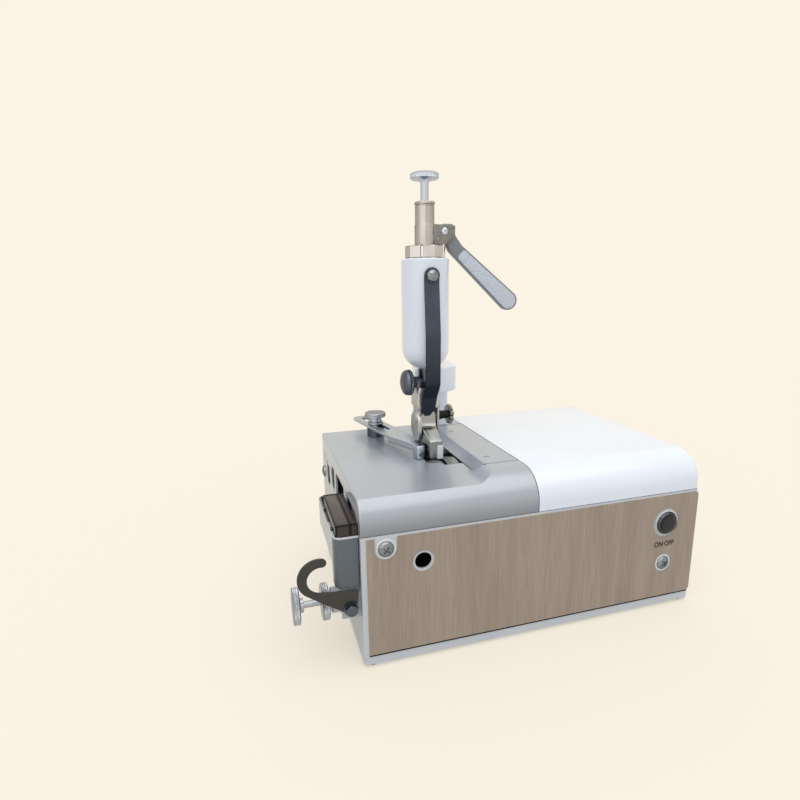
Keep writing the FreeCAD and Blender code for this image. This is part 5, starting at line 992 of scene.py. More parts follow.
def make_cover():
    """The cover: the table's section, drawn in at both ends along a quarter circle, and hollow below."""
    turn = np.linspace(0, math.pi / 2, 9)
    left, right = 0.8, 5.5  # Radii of the roundings at its two ends.
    stations = [(COVER_LEFT + left * (1 - math.cos(a)), left * (1 - math.sin(a))) for a in turn[::2]]
    stations += [(x, 0.0) for x in np.linspace(176, CASE_LENGTH - 6, 24)]
    stations += [(CASE_LENGTH - right + right * math.sin(a), right * (1 - math.cos(a))) for a in turn]
    surface = Surface().grid(carried_along_x(stations, skirted), wrap_columns=True, caps=True)
    cutters = (hollow(COVER_LEFT - 4, CASE_LENGTH - 3, 3, COVER_TOP - 3),)
    piece("cover", surface, "white enamel", "machine", ("motor_cover",), sharp=28, cutters=cutters)


def make_head(sizes):
    """The head and what stands on its axis.

    The drum, the collar, the sleeve and the rod are profiles turned about the axis, and column, arm and rib
    are plates joined to the drum. The collar has ten flats, and a slot cut to 0.9 of its radius in every
    second one. The rod's disc is knurled."""
    axis = (*HEAD, 0)
    profile = np.concatenate([
        [(0, 244)], arc((1.5, 267), 23, -90, 0, 16), np.linspace((24.5, 270), (24.5, 354), 8),
        arc((23, 355.5), 1.5, 0, 90, 4), [(0, 357)],
    ])
    drum = turned(Surface(), profile, axis, count=120)
    column = softened([(118, 196), (157, 196), (157, 226), (118, 226)], 5, 6)
    arm = softened(
        [(92, 134), (123.5, 134), (147, 146), (157, 200), (157, 226), (118, 226), (118, 198)],
        (4, 6, 12, 9, 5, 5, 4),
    )
    rib = softened([(94, 130), (119.5, 130), (148, 196), (118, 196)], 5)
    joined = (
        plate(Surface(), column, "XY", 147, 92, 2.5, 5),
        plate(Surface(), arm, "XY", 212, 29, 2.4, 4),
        plate(Surface(), rib, "XY", 218, 74, 3, 4),
    )
    piece("head", drum, "white enamel", "machine", ("head_casting",), sharp=30, joined=joined)

    low, high, turn = 357.8, 368.8, 9
    flats = facets(10, turn, low, high)

    def slotted(angle, height):
        """0.9 within 4 degrees of each fifth of a turn, and the flats' factor elsewhere."""
        near = np.abs(np.mod(angle + math.radians(turn), 2 * math.pi / 5) - math.pi / 5)
        return np.where(near < math.radians(4), between(height, low, high, 0.9), flats(angle, height))

    profile = [
        (10, 357), (20, 357), (20.2, 357.8), (21, 358.1), (21, 368.6), (20.2, 368.8), (19.6, 369.5),
        (10, 369.5),
    ]
    surface = turned(Surface(), profile, axis, count=240, ripple=slotted, ring=True)
    piece("collar", surface, "warm nickel", "machine", ("collar_nut",), sharp=14)

    profile = [
        (6, 369.4), (9.8, 369.4), (9.8, 407.4), (9.4, 407.8), (9.4, 408.5), (10.4, 409), (10.5, 410.6),
        (9.9, 411.5), (5.6, 411.5), (5.1, 411), (5.1, 400), (6, 399),
    ]
    surface = turned(Surface(), profile, axis, count=96, ring=True)
    piece("sleeve", surface, "sleeve nickel", "machine", ("top_sleeve",), sharp=28)

    disc = sizes.disc_radius / MM
    edge = [(disc, height) for height in np.linspace(433.3, 437.5, 9)]
    profile = [
        (0, 288), (4.1, 288), (4.1, 428), (4.6, 430), (6, 431.5), (7, 432.4), (disc - 0.8, 432.8), *edge,
        (disc - 0.7, 438.1), (disc - 1.4, 438.5), (9.6, 438.5), (9.3, 438.2), (3.2, 438.2), (2.6, 437.7),
        (0, 437.7),
    ]
    surface = turned(Surface(), profile, axis, count=240, ripple=knurl(48, 0.045, 3.2, 433.5, 437.3))
    piece("rod_with_disc", surface, "bright chrome", "rod", ("adjusting_rod",), sharp=30)


def make_lever(sizes):
    """The lever's bracket, its screws and the lever.

    The bracket is a ring with two ears and a web between them. The lever is an outline with rounded corners,
    drawn level and turned down about its pivot, with a sunk panel and a pale tab."""
    x, y, z = PIVOT
    front = 107.3  # The near face of the bracket's ears.
    profile = [(9.9, 371), (10.2, 371), (10.4, 371.3), (10.4, 389.7), (10.2, 390), (9.9, 390)]
    surface = turned(Surface(), profile, (*HEAD, 0), count=96, ring=True)
    piece("bracket_ring", surface, "sleeve nickel", "machine", sharp=28)
    outline = softened(
        [(101, 371), (119.5, 371), (128.5, 378.8), (129, 389), (101, 390.5)], (1, 3, 4, 1, 1), 6
    )
    surface = plate(Surface(), outline, "XZ", front, 3.4, 0.4)
    joined = (
        plate(Surface(), outline, "XZ", front + 12, 3.4, 0.4),
        block(Surface(), (106.8, 107.6, 371.4), (109.3, 122.4, 389.6), 0.3),
    )
    room = turned(Surface(), [(0, 360), (9.85, 360), (9.85, 400), (0, 400)], (*HEAD, 0), count=96)
    piece(
        "bracket", surface, "worn nickel", "machine", ("lever_bracket",), sharp=28, joined=joined,
        cutters=(room,),
    )

    profile = [
        (0, 0.2), (4.6, 0.2), (4.6, -0.6), (4.2, -0.9), (3.5, -0.9), (3.2, -0.5), (2.3, -0.5), (2.1, -0.9),
        (0.5, -0.9), (0, -0.9),
    ]
    surface = turned(Surface(), profile, (109.2, front, 376.1), "Y", 48)
    piece("bracket_boss", surface, "worn nickel", "machine", sharp=25)
    profile = [
        (0, -2.4), (1.5, -2.3), (2.8, -1.7), (3.5, -0.8), (3.6, 0), (2.5, 0), (2.5, 15.6), (2.1, 16), (0, 16),
    ]
    surface = turned(Surface(), profile, (x, front, z), "Y", 48)
    slot = block(Surface(), (-5, -4, -0.5), (5, -1.4, 0.5), 0.0)
    slot.moved(rotation("Y", 40, (0, 0, 0))).moved(shifted((x, front, z)))
    piece("lever_screw", surface, "bright chrome", "machine", ("lever_pin",), sharp=28, cutters=(slot,))

    turn = rotation("Y", math.degrees(sizes.lever_droop), PIVOT)
    pivot = np.array([x, z])
    shape = softened(LEVER_OUTLINE + pivot, LEVER_CORNERS, 8)
    panel = softened([(28, -8.6), (111.2, -9.8), (111.2, 8.7), (28, 3.2)] + pivot, (3, 8.8, 8.6, 3), 8)
    tab = softened([(28.6, -8.1), (37, -8.3), (37, 3.2), (28.6, 2.7)] + pivot, (2.4, 0.8, 0.8, 2.4))
    pin = turned(Surface(), [(0, -2), (2.6, -2), (2.6, 12), (0, 12)], PIVOT, "Y", 36)
    sunk = plate(Surface(), panel, "XZ", y - 2, 3.0, 0.0, 1).moved(turn)
    surface = plate(Surface(), shape, "XZ", y, 8, 1.5, 4).moved(turn)
    piece("lever", surface, "lever enamel", "lever", ("lift_lever",), sharp=30, cutters=(pin, sunk))
    surface = plate(Surface(), drawn_in(panel, 0.05), "XZ", y + 0.55, 0.6, 0.15).moved(turn)
    piece("lever_panel", surface, "lever panel", "lever")
    surface = plate(Surface(), tab, "XZ", y + 0.1, 0.7, 0.2).moved(turn)
    piece("lever_tab", surface, "lever tab", "lever")


def make_strap(sizes):
    """The leaf spring and its stud.

    The spring follows a bowed line in y and z. Its top is a half circle about the stud, so its half width
    there is the root of half^2 - rise^2. It leans a little to the left on its way down, and narrows at its
    foot. The stud is a six-sided dome with a cross slot, on a washer."""
    x, y, z = STUD
    half = sizes.strap_width / MM / 2
    turn = np.linspace(math.pi / 2, 0, 9)
    top = np.column_stack([np.full(9, y + 0.8), z + half * np.sin(turn)])
    run = softened(
        [(y + 0.8, z), (y + 0.8, 331), (y - 4.8, 283), (y - 4.8, 232), (y + 5.5, 217), (y + 9.8, 197)],
        (0, 12, 9, 9, 8, 0), 8, False,
    )
    level = np.linspace(204, 197, 7)
    low = np.column_stack([np.interp(level, (197, 217), (y + 9.8, y + 5.5)), level])
    path = np.concatenate([top, run[1:-1], low])
    level = path[:, 1]
    wide = np.sqrt(np.clip(half ** 2 - np.clip(level - z, 0, half) ** 2, 0.3, None))
    lean = 0.8 * smooth((335 - level) / 90)
    left = x - lean - wide + 3.2 * smooth((203 - level) / 6)
    right = x - lean + wide - 6.5 * np.clip((205.5 - level) / 8.5, 0, 1)
    piece(
        "strap", band(Surface(), path, left, right, 1.6), "blued spring", "machine", ("leaf_strap",), sharp=30
    )

    washer = [(0, 0.1), (8.0, 0.1), (8.0, -0.5), (7.6, -0.9), (0, -0.9)]
    piece("stud_washer", turned(Surface(), washer, STUD, "Y", 60), "dark chrome", "machine", sharp=28)
    cap = arc((0, -0.9), 6.6, 0, 88, 10) * (1, -1) * (1, 0.72) + np.array([0, -1.55])
    dome = np.concatenate([[(0, 8), (4, 8), (4, -0.9), (6.5, -0.9)], cap, [(0, -6.4)]])
    surface = turned(Surface(), dome, STUD, "Y", 72, facets(6, 10, -3.2, -0.5))
    cuts = cross_slot(STUD, "Y", 22, 4.6, 1.1, -9, -4.4)
    piece("stud", surface, "screw chrome", "machine", ("strap_stud",), sharp=24, cutters=cuts)


def foot_surface():
    """The foot: sections across y, with a rounded corner of 1.1 mm at each of their four corners.

    A section's left side, lower and upper level come from FOOT_STATIONS, on straight lines between them."""
    stations = np.array(FOOT_STATIONS)
    ends = stations[:, 0]
    level = np.concatenate([
        *(np.linspace(start, end, 4, endpoint=False) for start, end in zip(ends, ends[1:])), ends[-1:],
    ])
    left, low, top = (np.interp(level, ends, stations[:, k])[:, None] for k in (1, 2, 3))
    angle = np.radians([0, 22.5, 45, 67.5, 90])
    corner = 1.1 * np.stack([1 - np.cos(angle), 1 - np.sin(angle)])
    u, v = np.concatenate([corner, corner[:, ::-1]], 1)[:, None, :]
    on_right = np.arange(10)[None, :] < 5
    x_top = np.where(on_right, FOOT_RIGHT - u, left + u)
    x = np.concatenate([x_top, x_top[:, ::-1]], 1)
    z = np.concatenate([top - v, low + v[:, ::-1]], 1)
    rows = np.stack(np.broadcast_arrays(x, level[:, None], z), -1)
    return Surface().grid(rows, wrap_columns=True, caps=True)


def make_foot():
    """The holder, the foot and their screws.

    The holder is a body with a cheek on the left and a plate on the right, bored on the head's axis. The tilt
    knob is a dome with a fluted rim: at angle a, r = 13.2 sin a and h = 6.2 (1 - cos a). The side screw has a
    head with nine flutes."""
    y, z = PIN
    body = block(Surface(), (86, 101, 204), (111, 128, 234), 0.9, "XY", 3)
    cheek = softened(
        [(101, 222), (101, 206), (105, 199), (101, 192), (101.5, 178), (107, 167.2), (119, 167.2), (128, 176),
         (128, 191), (116.5, 201), (126, 212), (126, 222)],
        (1, 4, 5, 8, 8, 6, 7, 9, 7, 4, 4, 1), 7,
    )
    plate_right = softened([(106, 177), (120, 177), (122, 222), (104, 222)], (6, 6, 1, 1), 6)
    joined = (
        plate(Surface(), cheek, "YZ", 86, 4, 0.7, 4),
        plate(Surface(), plate_right, "YZ", 109, 2, 0.3),
        turned(Surface(), [(0, 0), (6.6, 0), (7.2, 0.6), (7.2, 1.6), (0, 1.6)], (84.9, y, z), "X", 48),
    )
    notch = block(Surface(), (84, 98, 226.5), (97, 103.8, 236), 0.0)
    bore = turned(Surface(), [(0, 203), (8.25, 203), (8.25, 240), (0, 240)], (*HEAD, 0), count=64)
    piece(
        "holder", body, "holder steel", "foot_carrier", ("foot_holder",), sharp=28, joined=joined,
        cutters=(notch, bore),
    )
    surface = block(Surface(), (88.2, 101.4, 226.8), (96.6, 106, 233.4), 0.4, "XY", 0.6)
    piece("holder_key", surface, "dark gunmetal", "foot_carrier")
    piece("foot", foot_surface(), "foot bronze", "foot", ("presser_foot",), sharp=26)
    surface = block(Surface(), (102, 86, FOOT_LOW), (FOOT_RIGHT, 88.2, FOOT_LOW + 14.5), 0.5, "XZ", 0.8)
    piece("wear_block", surface, "wear plastic", "foot", ("wear_insert",))

    turn = np.radians([12, 24, 36, 48, 60, 70, 78, 86])
    dome = np.column_stack([13.2 * np.sin(turn), 6.2 * (1 - np.cos(turn))])
    profile = [
        (0, 0), *dome, (13.4, 6.4), (13.5, 6.8), (12.6, 7.0), (12.4, 7.5), (13.5, 7.8), (13.5, 10.2),
        (12.6, 11.2), (9.4, 12.6), (6, 13), (6, 20.9), (0, 20.9),
    ]
    surface = turned(Surface(), profile, (70, 110, 231.5), "X", 192, flutes(36, 0.05, 7.7, 10.3))
    piece("tilt_knob_turned", surface, "dark gunmetal", "knob", ("tilt_knob",), sharp=26)

    profile = [
        (0, 0), (3, 0), (3, 33.4), (3.6, 33.6), (3.6, 36.5), (8.8, 36.5), (9.9, 36.9), (10.8, 37.7),
        (10.8, 40.2),
        (9.9, 41), (7, 41.1), (6.4, 40.5), (0, 40.5),
    ]
    surface = turned(Surface(), profile, (86, y, z), "X", 180, flutes(9, 0.2, 36.8, 41, 2.0))
    piece("thumb_screw", surface, "worn nickel", "foot_screw", ("side_thumb_screw",), sharp=28)
    profile = [(3.1, 0), (4.9, 0), (5.2, 0.3), (5.2, 3.6), (4.4, 3.9), (4.4, 10.6), (4.1, 10.9), (3.1, 10.9)]
    surface = turned(Surface(), profile, (111.2, y, z), "X", 48, ring=True)
    piece("spring_hub", surface, "black plastic", "foot_carrier", ("side_spring",), sharp=28)


def make_guide(sizes):
    """The edge guide: a slotted bar with a web under it and a block at its end, turned about its screw.

    The screw and its stand are profiles turned about the same axis, and the screw's disc is knurled."""
    x, y = GUIDE
    centre = np.array(GUIDE)
    turn = rotation("Z", math.degrees(sizes.guide_slant), (x, y, 0))
    outline = softened(
        [(-12.5, 44), (-12.5, -54), (-4, -99), (7, -99), (12.5, -62), (12.5, 44)] + centre,
        (8, 6, 3, 3, 14, 8), 8,
    )
    slot = softened([(-4, -34), (4, -34), (4, 34), (-4, 34)] + centre, 3.9, 8)
    web = softened([(-12.3, -54.5), (-4.1, -98.4), (-1.2, -98.4), (-8.8, -54.5)] + centre, 0.6)
    surface = plate(Surface(), outline, "XY", 163, 3, 0.45).moved(turn)
    joined = (plate(Surface(), web, "XY", 158.2, 5, 0.3).moved(turn),)
    cutters = (plate(Surface(), slot, "XY", 150, 30, 0.0, 1).moved(turn),)
    piece("guide", surface, "guide steel", "guide", ("guide_bar",), sharp=28, joined=joined, cutters=cutters)
    surface = block(Surface(), (x - 4.7, y - 109, 151.6), (x + 4.2, y - 98, 166), 0.8, "XY", 1.6).moved(turn)
    piece("guide_end", surface, "bright chrome", "guide", ("guide_block",), sharp=28)

    profile = [(4.2, 151.1), (10, 151.1), (10.5, 151.5), (10.5, 162.4), (10, 162.8), (4.2, 162.8)]
    surface = turned(Surface(), profile, (x, y, 0), count=72, ring=True)
    piece("guide_stand", surface, "dark gunmetal", "machine", ("guide_spacer",), sharp=28)
    edge = [(12.6, height) for height in np.linspace(175.4, 179.2, 7)]
    profile = [
        (0, 145), (3.5, 145), (3.5, 166.1), (9, 166.1), (9.4, 166.5), (9.2, 168.4), (7.6, 169), (7.2, 174.2),
        (9.5, 174.7), (12.2, 175), *edge, (12.1, 179.8), (11.2, 180.2), (8.4, 180.2), (8.1, 179.9),
        (0, 179.9),
    ]
    surface = turned(Surface(), profile, (x, y, 0), count=200, ripple=knurl(50, 0.02, 2.2, 175.5, 179.1))
    piece("guide_screw", surface, "capped steel", "guide_screw", ("guide_thumb_screw",), sharp=30)


def make_left_side(sizes):
    """The hook with its bolt, the two knurled knobs of the set screw, their boss, and the end's openings.

    The hook's outline is two arcs about nearly the same centre, joined by its shank and an arc at its tip."""
    x, z = HOOK_BOLT
    outline = np.concatenate([
        arc((-36.6, 86.4), 18.6, 76, 228, 22),
        softened(
            [(-45, 69.6), (-28.3, 58.2), (-11, 47), (-4.5, 45.5), (-2, 69.6), (-22.4, 71.2), (-33.5, 72.7)],
            (0, 14, 7, 7, 3, 10, 0), 6, False,
        ),
        arc((-34.8, 84.7), 12.0, 268, 88, 22),
        arc((-33.1, 100.4), 3.8, -95, 62, 10),
    ])
    surface = plate(Surface(), outline, "XZ", 3, sizes.hook_thickness / MM, 0.5)
    hole = turned(Surface(), [(0, -2), (3.1, -2), (3.1, 12), (0, 12)], (x, 0, z), "Y", 36)
    piece("hook", surface, "hook enamel", "hook", ("hook_lever",), sharp=30, cutters=(hole,))
    profile = [
        (0, -2.6), (3.9, -2.6), (5.0, -2.2), (5.6, -1.6), (5.6, 1.8), (6.6, 1.8), (6.6, 2.9), (3.0, 2.9),
        (3.0, 11.05), (0, 11.05),
    ]
    surface = turned(Surface(), profile, (x, 0, z), "Y", 120, facets(6, 12, -1.9, 1.7))
    piece("pivot_bolt", surface, "dark gunmetal", "machine", ("hook_bolt",), sharp=22)

    knob = sizes.knob_radius / MM
    rims = [(knob, depth) for depth in np.linspace(0.8, 5.8, 13)]
    ripple = knurl(56, 0.05, 3.4, 0.85, 5.75)
    profile = [
        (0, 0.8), (3.4, 0.8), (4, 0.3), (9, 0.3), (9.4, 0), (knob - 1.4, 0), (knob - 0.4, 0.4), *rims,
        (knob - 0.4, 6.2), (knob - 1.4, 6.6), (7, 6.6), (6.4, 7.2), (6.4, 10), (3, 10.4), (3, 159.5),
        (0, 159.5),
    ]
    surface = turned(Surface(), profile, (-59.5, *SET_SCREW), "X", 288, ripple)
    piece("set_screw", surface, "knurled steel", "adjuster", ("adjusting_screw",), sharp=34)
    profile = [
        (3.2, 0), (knob - 1.8, 0), (knob - 0.6, 0.4), *rims, (knob - 0.6, 6.2), (knob - 1.8, 6.6), (3.2, 6.6),
    ]
    surface = turned(Surface(), profile, (-33.5, *SET_SCREW), "X", 288, ripple, ring=True)
    piece("lock_ring", surface, "knurled steel", "lock", ("lock_nut",), sharp=34)
    profile = [(3.3, 0), (10.6, 0), (11.4, 0.6), (11.4, 6), (12.2, 7), (12.2, 24.6), (3.3, 24.6)]
    surface = turned(Surface(), profile, (-24.6, *SET_SCREW), "X", 72, ring=True)
    piece("boss", surface, "case paint", "machine", ("screw_boss",), sharp=28)

    make_tray()

    # What the window over the tray shows, and the slots of the end.
    profile = [(0, -1.4), (5, -1.4), (6.4, -0.6), (6.8, 0.4), (6.8, 3), (0, 3)]
    surface = turned(Surface(), profile, (3, 72, 137), "X", 60)
    piece("window_head", surface, "knurled steel", "machine")
    surface = block(Surface(), (4, 18, 112), (4.8, 60, 143), 0.2, "YZ", 4)
    block(surface, (4, 84, 112), (4.8, 104, 137), 0.2, "YZ", 3)
    piece("window_plates", surface, "case paint", "machine")
    surface = block(Surface(), (-0.6, 177, 103), (0.4, 188, 124), 0.1)
    block(surface, (-0.6, 141, 112), (0.4, 152, 133), 0.1)
    piece("end_slots", surface, "black plastic", "machine")


def make_tray():
    """The tray with its pale rim, its shelf, and the guard over it.

    The tray is a deep pocket in front and a shallower trough behind it, hollowed out from above. The guard is
    a box with no floor and no right side, with dark strips along its edges."""
    outline = softened([(-22, 5), (-0.4, 5), (-0.4, 22), (-22, 22)], (7, 1.2, 1.2, 3), 8)
    surface = plate(Surface(), outline, "XY", 72, 48, 0.5)
    back = softened([(-22, 14), (-0.4, 14), (-0.4, 104), (-22, 104)], (3, 1.2, 1.2, 5), 8)
    joined = (plate(Surface(), back, "XY", 93, 27, 0.4),)
    inner = softened([(-20.4, 6.6), (-2, 6.6), (-2, 102.4), (-20.4, 102.4)], (5.4, 0.8, 0.8, 3), 8)
    cutters = (
        plate(Surface(), inner, "XY", 95, 60, 0.0, 1),
        block(Surface(), (-3, 8, 96), (2, 101, 140), 0.0, "YZ", 3),
    )
    piece("tray", surface, "tray paint", "tray", ("scrap_tray",), sharp=28, joined=joined, cutters=cutters)
    piece("tray_side", block(Surface(), (-22.35, 13.5, 93.4), (-21.9, 100, 119.6), 0.15), "end paint", "tray")
    rim = softened(
        [(-22.3, 4.7), (-0.4, 4.7), (-0.4, 6.4), (-20.2, 6.4), (-20.2, 40), (-22.3, 40)],
        (7, 0, 0, 5.4, 0.5, 0.5),
    )
    piece("tray_rim", plate(Surface(), rim, "XY", 118.7, 1.6, 0.3), "case paint", "tray")
    outline = [(-5, 14), (0, 14), (0, 104), (-5, 104)]
    piece("shelf", plate(Surface(), outline, "XY", 69.5, 2.5), "case paint", "machine", ("tray_shelf",))

    outline = softened([(-20, 7), (-0.8, 7), (-0.8, 78), (-20, 78)], (2, 0.6, 0.6, 1), 7)
    surface = plate(Surface(), outline, "XY", 106, 25, 0.5)
    room = block(Surface(), (-17.6, 9.4, 100), (4, 75.6, 128.6), 0.0)
    lugs = [block(Surface(), (-22, start, 120.2), (-19, start + 4, 122.2), 0.2) for start in (21.4, 65.4)]
    piece("guard", surface, "smoked plastic", "tray", ("chip_guard",), sharp=28, joined=lugs, cutters=(room,))
    surface = Surface()
    for low, high in (
        ((-20.25, 6.7, 129.6), (-1, 8.4, 131.3)),
        ((-20.25, 76.6, 129.6), (-1, 78.3, 131.3)),
        ((-8.2, 6.7, 129.6), (-5.8, 78.3, 131.4)),
        ((-20.3, 8, 129.6), (-18.9, 78, 131.3)),
        ((-8.2, 6.5, 106.5), (-5.8, 7.4, 130.5)),
        ((-20.3, 8, 120.2), (-19.7, 78, 121.6)),
        ((-20.1, 6.7, 121), (-18.2, 7.9, 130.5)),
    ):
        block(surface, low, high, 0.1)
    piece("guard_strips", surface, "black plastic", "tray")


def make_switch(sizes):
    """The switch and its lettering.

    The ring, the bezel and the button are profiles turned about one axis. The lettering is flat text,
    stretched to the width and the height that are asked for, just off the panel."""
    x, z = BUTTON
    profile = [
        (10.4, -0.2), (13.4, -0.2), (13.4, -1.2), (13.1, -1.6), (12.6, -1.6), (12.2, -1.2), (10.4, -1.2),
    ]
    surface = turned(Surface(), profile, (x, 0, z), "Y", 96, ring=True)
    piece("switch_ring", surface, "wear plastic", "machine", sharp=28)
    profile = [
        (8.3, 29), (10.9, 29), (10.9, 0.5), (12.2, 0.2), (12.2, -1.6), (12.0, -2.0), (11.2, -3.2),
        (10.7, -3.7),
        (10.1, -3.8), (9.5, -3.6), (9.45, 1.4), (8.3, 1.6),
    ]
    surface = turned(Surface(), profile, (x, 0, z), "Y", 96, ring=True)
    piece("switch_bezel", surface, "dark chrome", "machine", ("switch_housing",), sharp=30)
    profile = [
        (0, 11.6), (8.15, 11.6), (8.15, -2.4), (9.1, -2.6), (9.3, -3.3), (9.0, -4.1), (8.1, -4.6),
        (6.6, -4.75),
        (0, -4.4),
    ]
    surface = turned(Surface(), profile, (x, 0, z), "Y", 96)
    piece("switch_button", surface, "button gloss", "button", ("power_button",), sharp=30)

    words = bpy.data.curves.new("lettering", "FONT")
    words.body, words.align_x, words.align_y = "ON·OFF", "CENTER", "CENTER"
    words.size, words.extrude, words.offset = 1.0, 0.0, 0.035
    drawn = bpy.data.objects.new("lettering_curve", words)
    bpy.context.scene.collection.objects.link(drawn)
    bpy.context.view_layer.update()
    mesh = bpy.data.meshes.new_from_object(drawn.evaluated_get(bpy.context.evaluated_depsgraph_get()))
    bpy.data.objects.remove(drawn)
    flat = np.zeros(len(mesh.vertices) * 3)
    mesh.vertices.foreach_get("co", flat)
    flat = flat.reshape(-1, 3)[:, :2]
    low, high = flat.min(0), flat.max(0)
    asked = np.array([sizes.lettering_width, sizes.lettering_height]) / MM
    across, up = ((flat - (low + high) / 2) * asked / (high - low)).T
    points = np.column_stack([across + 320.8, np.full(len(flat), -0.86), up + 64.0])
    mesh.vertices.foreach_set("co", (CORNER + MM * points).ravel())
    mesh.name = "lettering"
    thing = bpy.data.objects.new("lettering", mesh)
    bpy.context.scene.collection.objects.link(thing)
    mesh.materials.clear()
    mesh.materials.append(bpy.data.materials["lettering ink"])
    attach(thing, "machine")


def cross_slot(place, axis, degrees, long, wide, near, far):
    """Two crossed bars for cutting a screw's slot, from near to far along its axis, turned about it."""
    bars = []
    for across, up in ((long, wide), (wide, long)):
        low, high = (near, -across, -up), (far, across, up)
        if axis == "Y":
            low, high = (-across, near, -up), (across, far, up)
        bar = block(Surface(), low, high, 0.0)
        bars.append(bar.moved(rotation(axis, degrees, (0, 0, 0))).moved(shifted(place)))
    return bars


def make_screws():
    """The domed screws of the front and the end, each with a cross slot, and a ring round those of the front.

    The dome's point at angle a is 7.2 cos a across the axis and 0.5 + 2.87 sin a out of the panel."""
    dome = [(7.2 * math.cos(a), -0.5 - 2.87 * math.sin(a)) for a in np.radians([15, 30, 45, 60, 75, 87])]
    profile = [(0, 10), (2.2, 10), (2.2, 0), (7.2, 0), (7.2, -0.5), *dome, (0, -3.37)]
    surface = Surface()
    cuts = []
    for place, axis, degrees in (*FRONT_SCREWS, *END_SCREWS):
        turned(surface, profile, place, axis, 60)
        cuts += cross_slot(place, axis, degrees, 3.6, 0.65, -5, -1.6)
    piece("panel_heads", surface, "screw chrome", "machine", ("panel_screws",), sharp=26, cutters=cuts)
    surface = Surface()
    profile = [(7.3, 0), (9.4, 0), (9.4, -0.5), (9.1, -0.8), (7.6, -0.8), (7.3, -0.6)]
    for place, axis, _ in FRONT_SCREWS:
        turned(surface, profile, place, axis, 60, ring=True)
    piece("panel_rings", surface, "wear plastic", "machine")


# ------------------------------------------------------------------ stage


def linked(tree, *pairs):
    """Link pairs of outputs and inputs in a node tree."""
    for start, end in pairs:
        tree.links.new(start, end)


def make_floor(scene, stage):
    """A square floor. Rays that light the object see a duller one, so that its lower sides stay darker."""
    reach = FLOOR_REACH
    mesh = bpy.data.meshes.new("floor")
    mesh.from_pydata(
        [(-reach, -reach, 0), (reach, -reach, 0), (reach, reach, 0), (-reach, reach, 0)], [], [(0, 1, 2, 3)]
    )
    floor = bpy.data.objects.new("floor", mesh)
    scene.collection.objects.link(floor)
    material = bpy.data.materials.new("pale floor")
    material.use_nodes = True
    tree = material.node_tree
    shader = tree.nodes["Principled BSDF"]
    shader.inputs["Roughness"].default_value = 1.0
    shader.inputs["Specular IOR Level"].default_value = 0.0
    dull = tree.nodes.new("ShaderNodeBsdfDiffuse")
    dull.inputs["Color"].default_value = (*stage.bounce, 1)
    rays = tree.nodes.new("ShaderNodeLightPath")
    choice = tree.nodes.new("ShaderNodeMixShader")
    linked(
        tree,
        (rays.outputs["Is Diffuse Ray"], choice.inputs[0]),
        (shader.outputs[0], choice.inputs[1]),
        (dull.outputs[0], choice.inputs[2]),
        (choice.outputs[0], tree.nodes["Material Output"].inputs[0]),
    )
    mesh.materials.append(material)
    return shader


def make_backdrop(scene, stage):
    """A world that lights with the sky, and that the camera and glossy things see in the floor's colour."""
    world = bpy.data.worlds.new("studio")
    scene.world = world
    world.use_nodes = True
    tree = world.node_tree
    soft = tree.nodes["Background"]
    soft.inputs["Color"].default_value = (*stage.sky, 1)
    soft.inputs["Strength"].default_value = stage.sky_strength
    seen = tree.nodes.new("ShaderNodeBackground")
    seen.inputs["Color"].default_value = (*stage.floor, 1)
    blend = tree.nodes.new("ShaderNodeMixShader")
    rays = tree.nodes.new("ShaderNodeLightPath")
    glossy = tree.nodes.new("ShaderNodeMath")
    clear = tree.nodes.new("ShaderNodeMath")
    glossy.operation = clear.operation = "MAXIMUM"
    linked(
        tree,
        (rays.outputs["Is Camera Ray"], glossy.inputs[0]),
        (rays.outputs["Is Glossy Ray"], glossy.inputs[1]),
        (glossy.outputs[0], clear.inputs[0]),
        (rays.outputs["Is Transmission Ray"], clear.inputs[1]),
        (clear.outputs[0], blend.inputs[0]),
        (soft.outputs[0], blend.inputs[1]),
        (seen.outputs[0], blend.inputs[2]),
        (blend.outputs[0], tree.nodes["World Output"].inputs[0]),
    )


def faced(across, up, back, place):
    """The matrix of a lamp or a camera: its own x, y and z directions and its place are the columns."""
    return Matrix([[across[i], up[i], back[i], place[i]] for i in range(3)] + [[0, 0, 0, 1]])


def make_lights(scene, stage):
    """Three distant lamps, and the light that they and the sky give the floor.

    A lamp stands towards (sin turn cos height, -cos turn cos height, sin height), and gives the floor its
    strength times sin height / pi."""
    level = stage.sky_strength * np.array(stage.sky)
    for name, power, turn, height, tint in (
        ("key", stage.key_power, stage.key_turn, stage.key_height, (1.0, 0.99, 0.97)),
        ("fill", stage.fill_power, math.radians(-45), math.radians(30), (0.95, 0.975, 1.0)),
        ("rim", stage.rim_power, math.radians(160), math.radians(55), (1.0, 1.0, 1.0)),
    ):
        lamp = bpy.data.lights.new(name, "SUN")
        lamp.energy, lamp.angle, lamp.color = power, stage.spread, tint
        thing = bpy.data.objects.new(name, lamp)
        scene.collection.objects.link(thing)
        away = np.array([
            math.sin(turn) * math.cos(height), -math.cos(turn) * math.cos(height), math.sin(height)
        ])
        side = np.cross([0, 0, 1.0], away)
        side /= np.linalg.norm(side)
        thing.matrix_world = faced(side, np.cross(away, side), away, away * 2)
        level = level + power * math.sin(height) / math.pi * np.array(tint)
    return level


def make_camera(scene, stage):
    """The camera, at its measured place, with its sensor 36 mm wide."""
    lens = bpy.data.cameras.new("camera")
    lens.lens = stage.lens
    lens.sensor_width = 36.0
    lens.clip_start, lens.clip_end = 0.02, 60.0
    camera = bpy.data.objects.new("camera", lens)
    scene.collection.objects.link(camera)
    right, down, ahead = np.array(CAMERA_AXES)
    camera.matrix_world = faced(right, -down, -ahead, CORNER + MM * np.array(CAMERA_PLACE))
    scene.camera = camera


